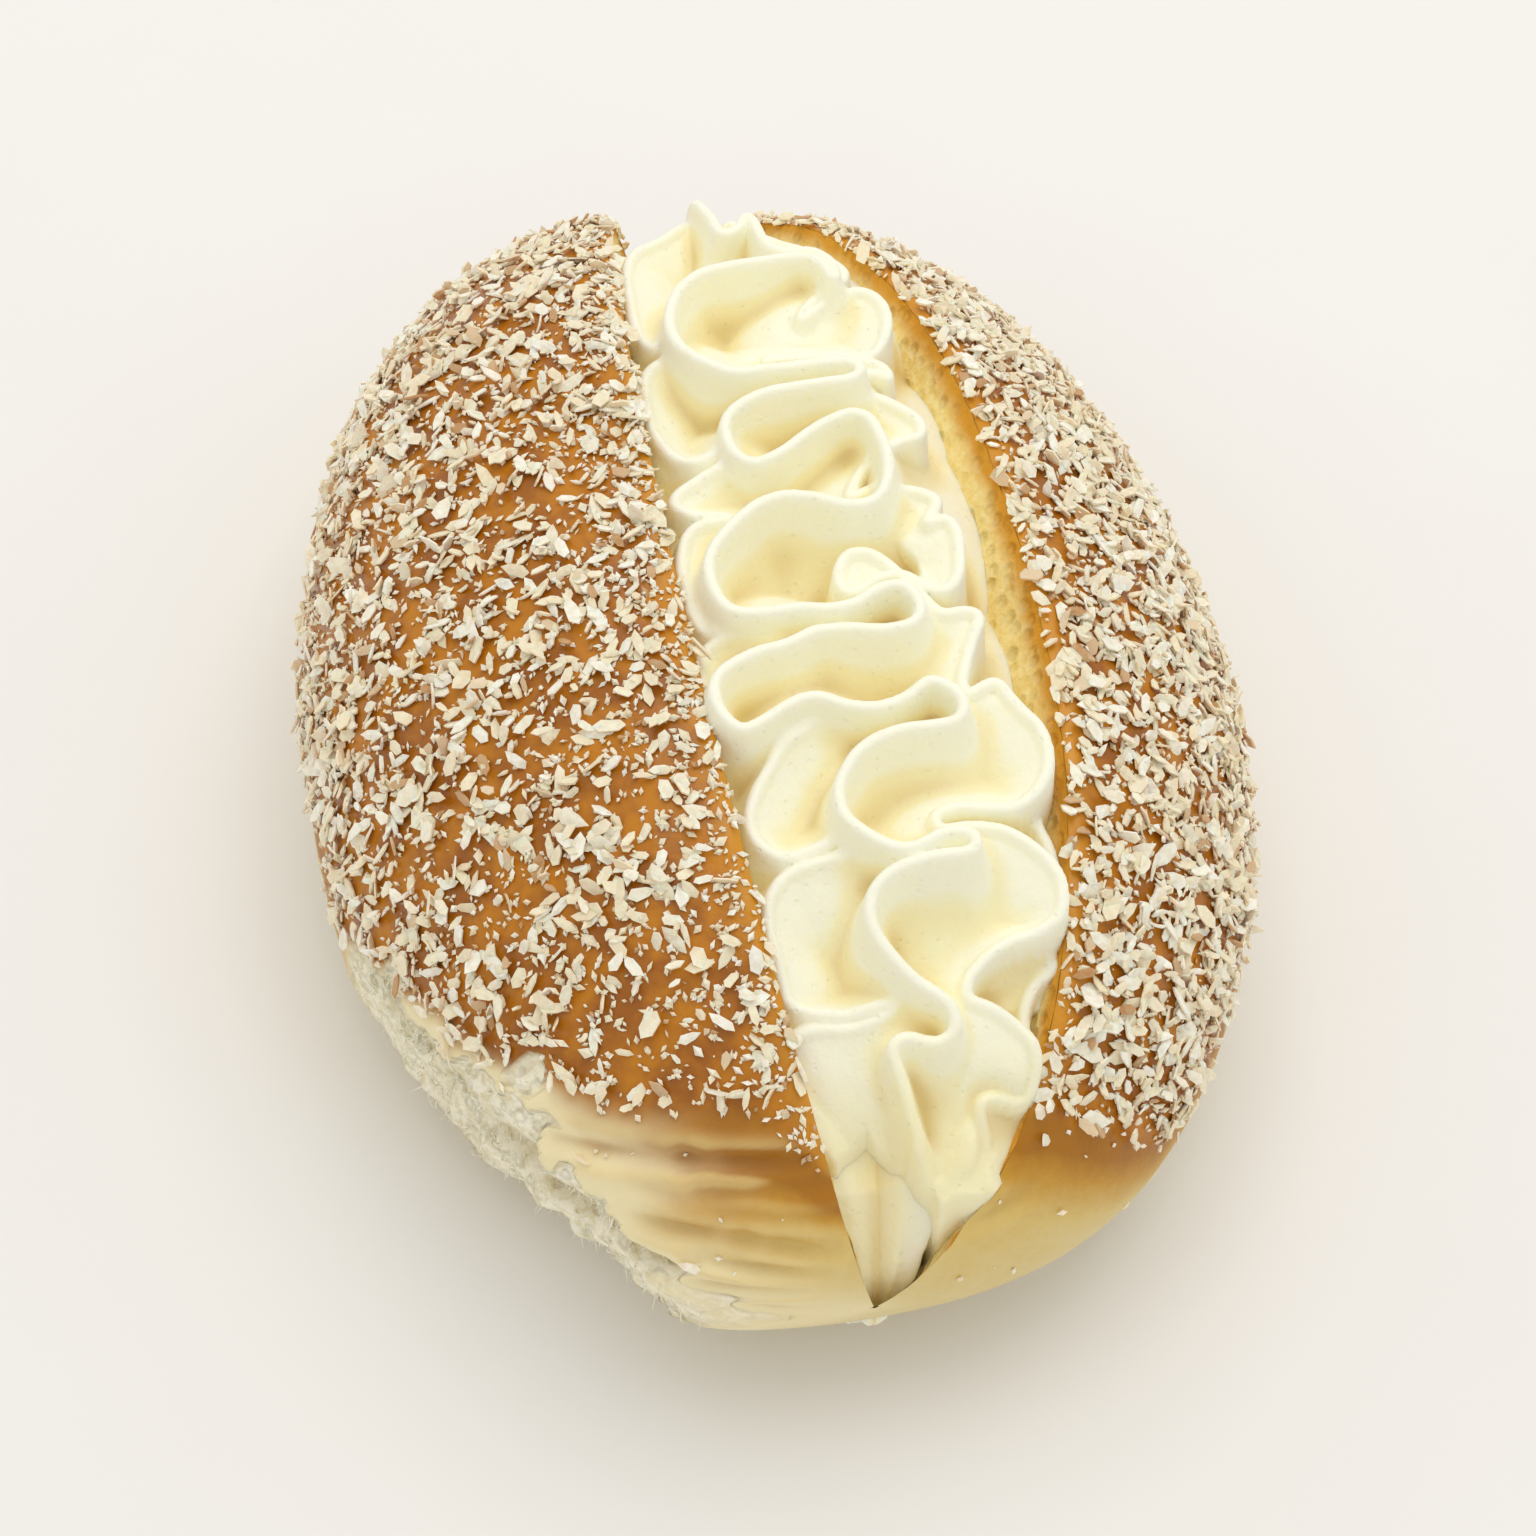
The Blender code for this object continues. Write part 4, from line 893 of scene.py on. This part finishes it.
def cream_finish():
    """Whipped cream: ivory, with painted shade that turns it yellower in the creases, the tail's grooves
    and the near end, and fine bubbles.
    """
    whip = Finish("whipped cream", {
        "Subsurface Weight": 0.4,
        "Subsurface Radius": (1.0, 0.85, 0.5),
        "Subsurface Scale": 0.002,
        "Specular IOR Level": 0.45,
    })
    mottle = whip.grain(5.0, 3.0)
    # Painted shade: yellow in shallow creases, yellow-brown in the deepest and at the near end.
    painted_shade_share = (whip.fact("hollow") + (mottle - 0.5) * 0.2).ramp(0.03, 0.9)
    colour = whip.blend(painted_shade_share, tint(255, 253, 228), tint(253, 241, 196))
    colour = whip.blend(whip.fact("hollow").ramp(0.8, 2.2), colour, tint(226, 202, 130))
    bubbles = 1 - whip.cells(1.3).ramp(0.0, 0.22)
    height = whip.grain(1.6, 3.0) * 0.5 + whip.grain(0.5, 2.0) * 0.15 - bubbles * 0.25
    rough = 0.38 + mottle * 0.2
    return whip.finish(Base_Color=colour, Roughness=rough, Normal=whip.bump(height, 0.35))


def fibre_finish():
    """Crumb wisps, lighter and darker by noise."""
    wisp = Finish("torn crumb", {"Subsurface Weight": 0.2, "Subsurface Scale": 0.001})
    shade = wisp.grain(3.0, 2.0)
    colour = wisp.blend(shade.ramp(0.3, 0.7), tint(234, 228, 202), tint(252, 248, 232))
    return wisp.finish(Base_Color=colour, Roughness=0.75 + shade * 0.15)


def floor_finish():
    """A pale table top with a faint grain."""
    table = Finish("pale table", {"Specular IOR Level": 0.25})
    weave = table.grain(40.0, 3.0)
    colour = table.blend(weave, tint(240, 238, 234), tint(243, 241, 238))
    return table.finish(Base_Color=colour, Roughness=0.6 + weave * 0.1)


# ---- the pieces ------------------------------------------------------------------------
random = np.random.default_rng(SEED)
sections, facts, skin_columns = bread_sections()
bread = tube("bread", sections, facts)

covered = facts["coat"][:, :skin_columns]
skin_places = sections[:, :skin_columns]
x, y, z = np.moveaxis(skin_places, -1, 0)
thick_right = smooth(x, 5, 16)
density = 0.50 + 0.45 * noise(skin_places, 8, 91, 2) + 0.28 * y / 60
density = np.clip(density * (1 - thick_right) + 0.95 * thick_right, 0.08, 1.1)
strays = 0.010 * smooth(z, 6, 14) * facts["skin"][:, :skin_columns]
flakes = make_flakes(random, skin_places, covered * density + strays)
by_left_lip = np.exp(-(((x - LEFT_LIP * width_scale(y)) / 5) ** 2))
crumbs = make_crumbs(random, skin_places, covered * (0.6 + by_left_lip) + 1.5 * strays)
fibres = make_fibres(random, skin_places, facts["torn"][:, :skin_columns])

ruffles = make_ruffles()
tail = make_tail()

crust, whipped = crust_finish(), cream_finish()
for piece, finish, node, slot in (
    (bread, crust, "bun", "baked_crust"),
    (flakes, coconut_finish("coconut flakes"), "bun", "baked_crust"),
    (crumbs, coconut_finish("coconut crumbs"), "bun", "baked_crust"),
    (fibres, fibre_finish(), "bun", "baked_crust"),
    (ruffles, whipped, "cream", "whipped_cream"),
    (tail, whipped, "cream", "whipped_cream"),
):
    piece.data.materials.append(finish)
    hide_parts(node)

# ---- table, light and camera -----------------------------------------------------------
bpy.ops.mesh.primitive_plane_add(size=6.0, location=(0, 0, 0))
floor = bpy.context.object
floor.name = "table"
floor.data.materials.append(floor_finish())

WINDOW_PLACE, BUN_MIDDLE = (0.15, 0.30, 0.98), (0, 0, 0.02)
WINDOW_SIZE, WINDOW_WATTS, SKY_STRENGTH = 0.9, 3.8, 0.76
scene = bpy.context.scene
light = bpy.data.lights.new("window", "AREA")
light.size = WINDOW_SIZE
light.energy = WINDOW_WATTS
light.color = (1.0, 0.985, 0.96)
window = bpy.data.objects.new("window", light)
scene.collection.objects.link(window)
window.location = WINDOW_PLACE
to_bun = Vector(BUN_MIDDLE) - Vector(WINDOW_PLACE)
window.rotation_euler = to_bun.to_track_quat("-Z", "Y").to_euler()

world = bpy.data.worlds.new("studio")
world.use_nodes = True
backdrop = world.node_tree.nodes["Background"]
backdrop.inputs["Color"].default_value = (1.0, 0.99, 0.972, 1.0)
backdrop.inputs["Strength"].default_value = SKY_STRENGTH
scene.world = world
scene.view_settings.view_transform = "Standard"

AZIMUTH, ELEVATION, ROLL = math.radians(-12.448), math.radians(54.636), math.radians(1.865)
TARGET = Vector((0.959 - MIDDLE_X, -8.5, 21.925)) * MM
DISTANCE = 290.751 * MM
lens = bpy.data.cameras.new("camera")
lens.sensor_width = 36.0
lens.lens = 68.85
lens.clip_start = 0.01
camera = bpy.data.objects.new("camera", lens)
scene.collection.objects.link(camera)
back = Vector((
    math.sin(AZIMUTH) * math.cos(ELEVATION),
    -math.cos(AZIMUTH) * math.cos(ELEVATION),
    math.sin(ELEVATION),
))
level = Vector((math.cos(AZIMUTH), math.sin(AZIMUTH), 0))
upward = back.cross(level)
right = level * math.cos(ROLL) + upward * math.sin(ROLL)
top = upward * math.cos(ROLL) - level * math.sin(ROLL)
turned = Matrix((right, top, back)).transposed().to_4x4()
camera.matrix_world = Matrix.Translation(TARGET + back * DISTANCE) @ turned
scene.camera = camera
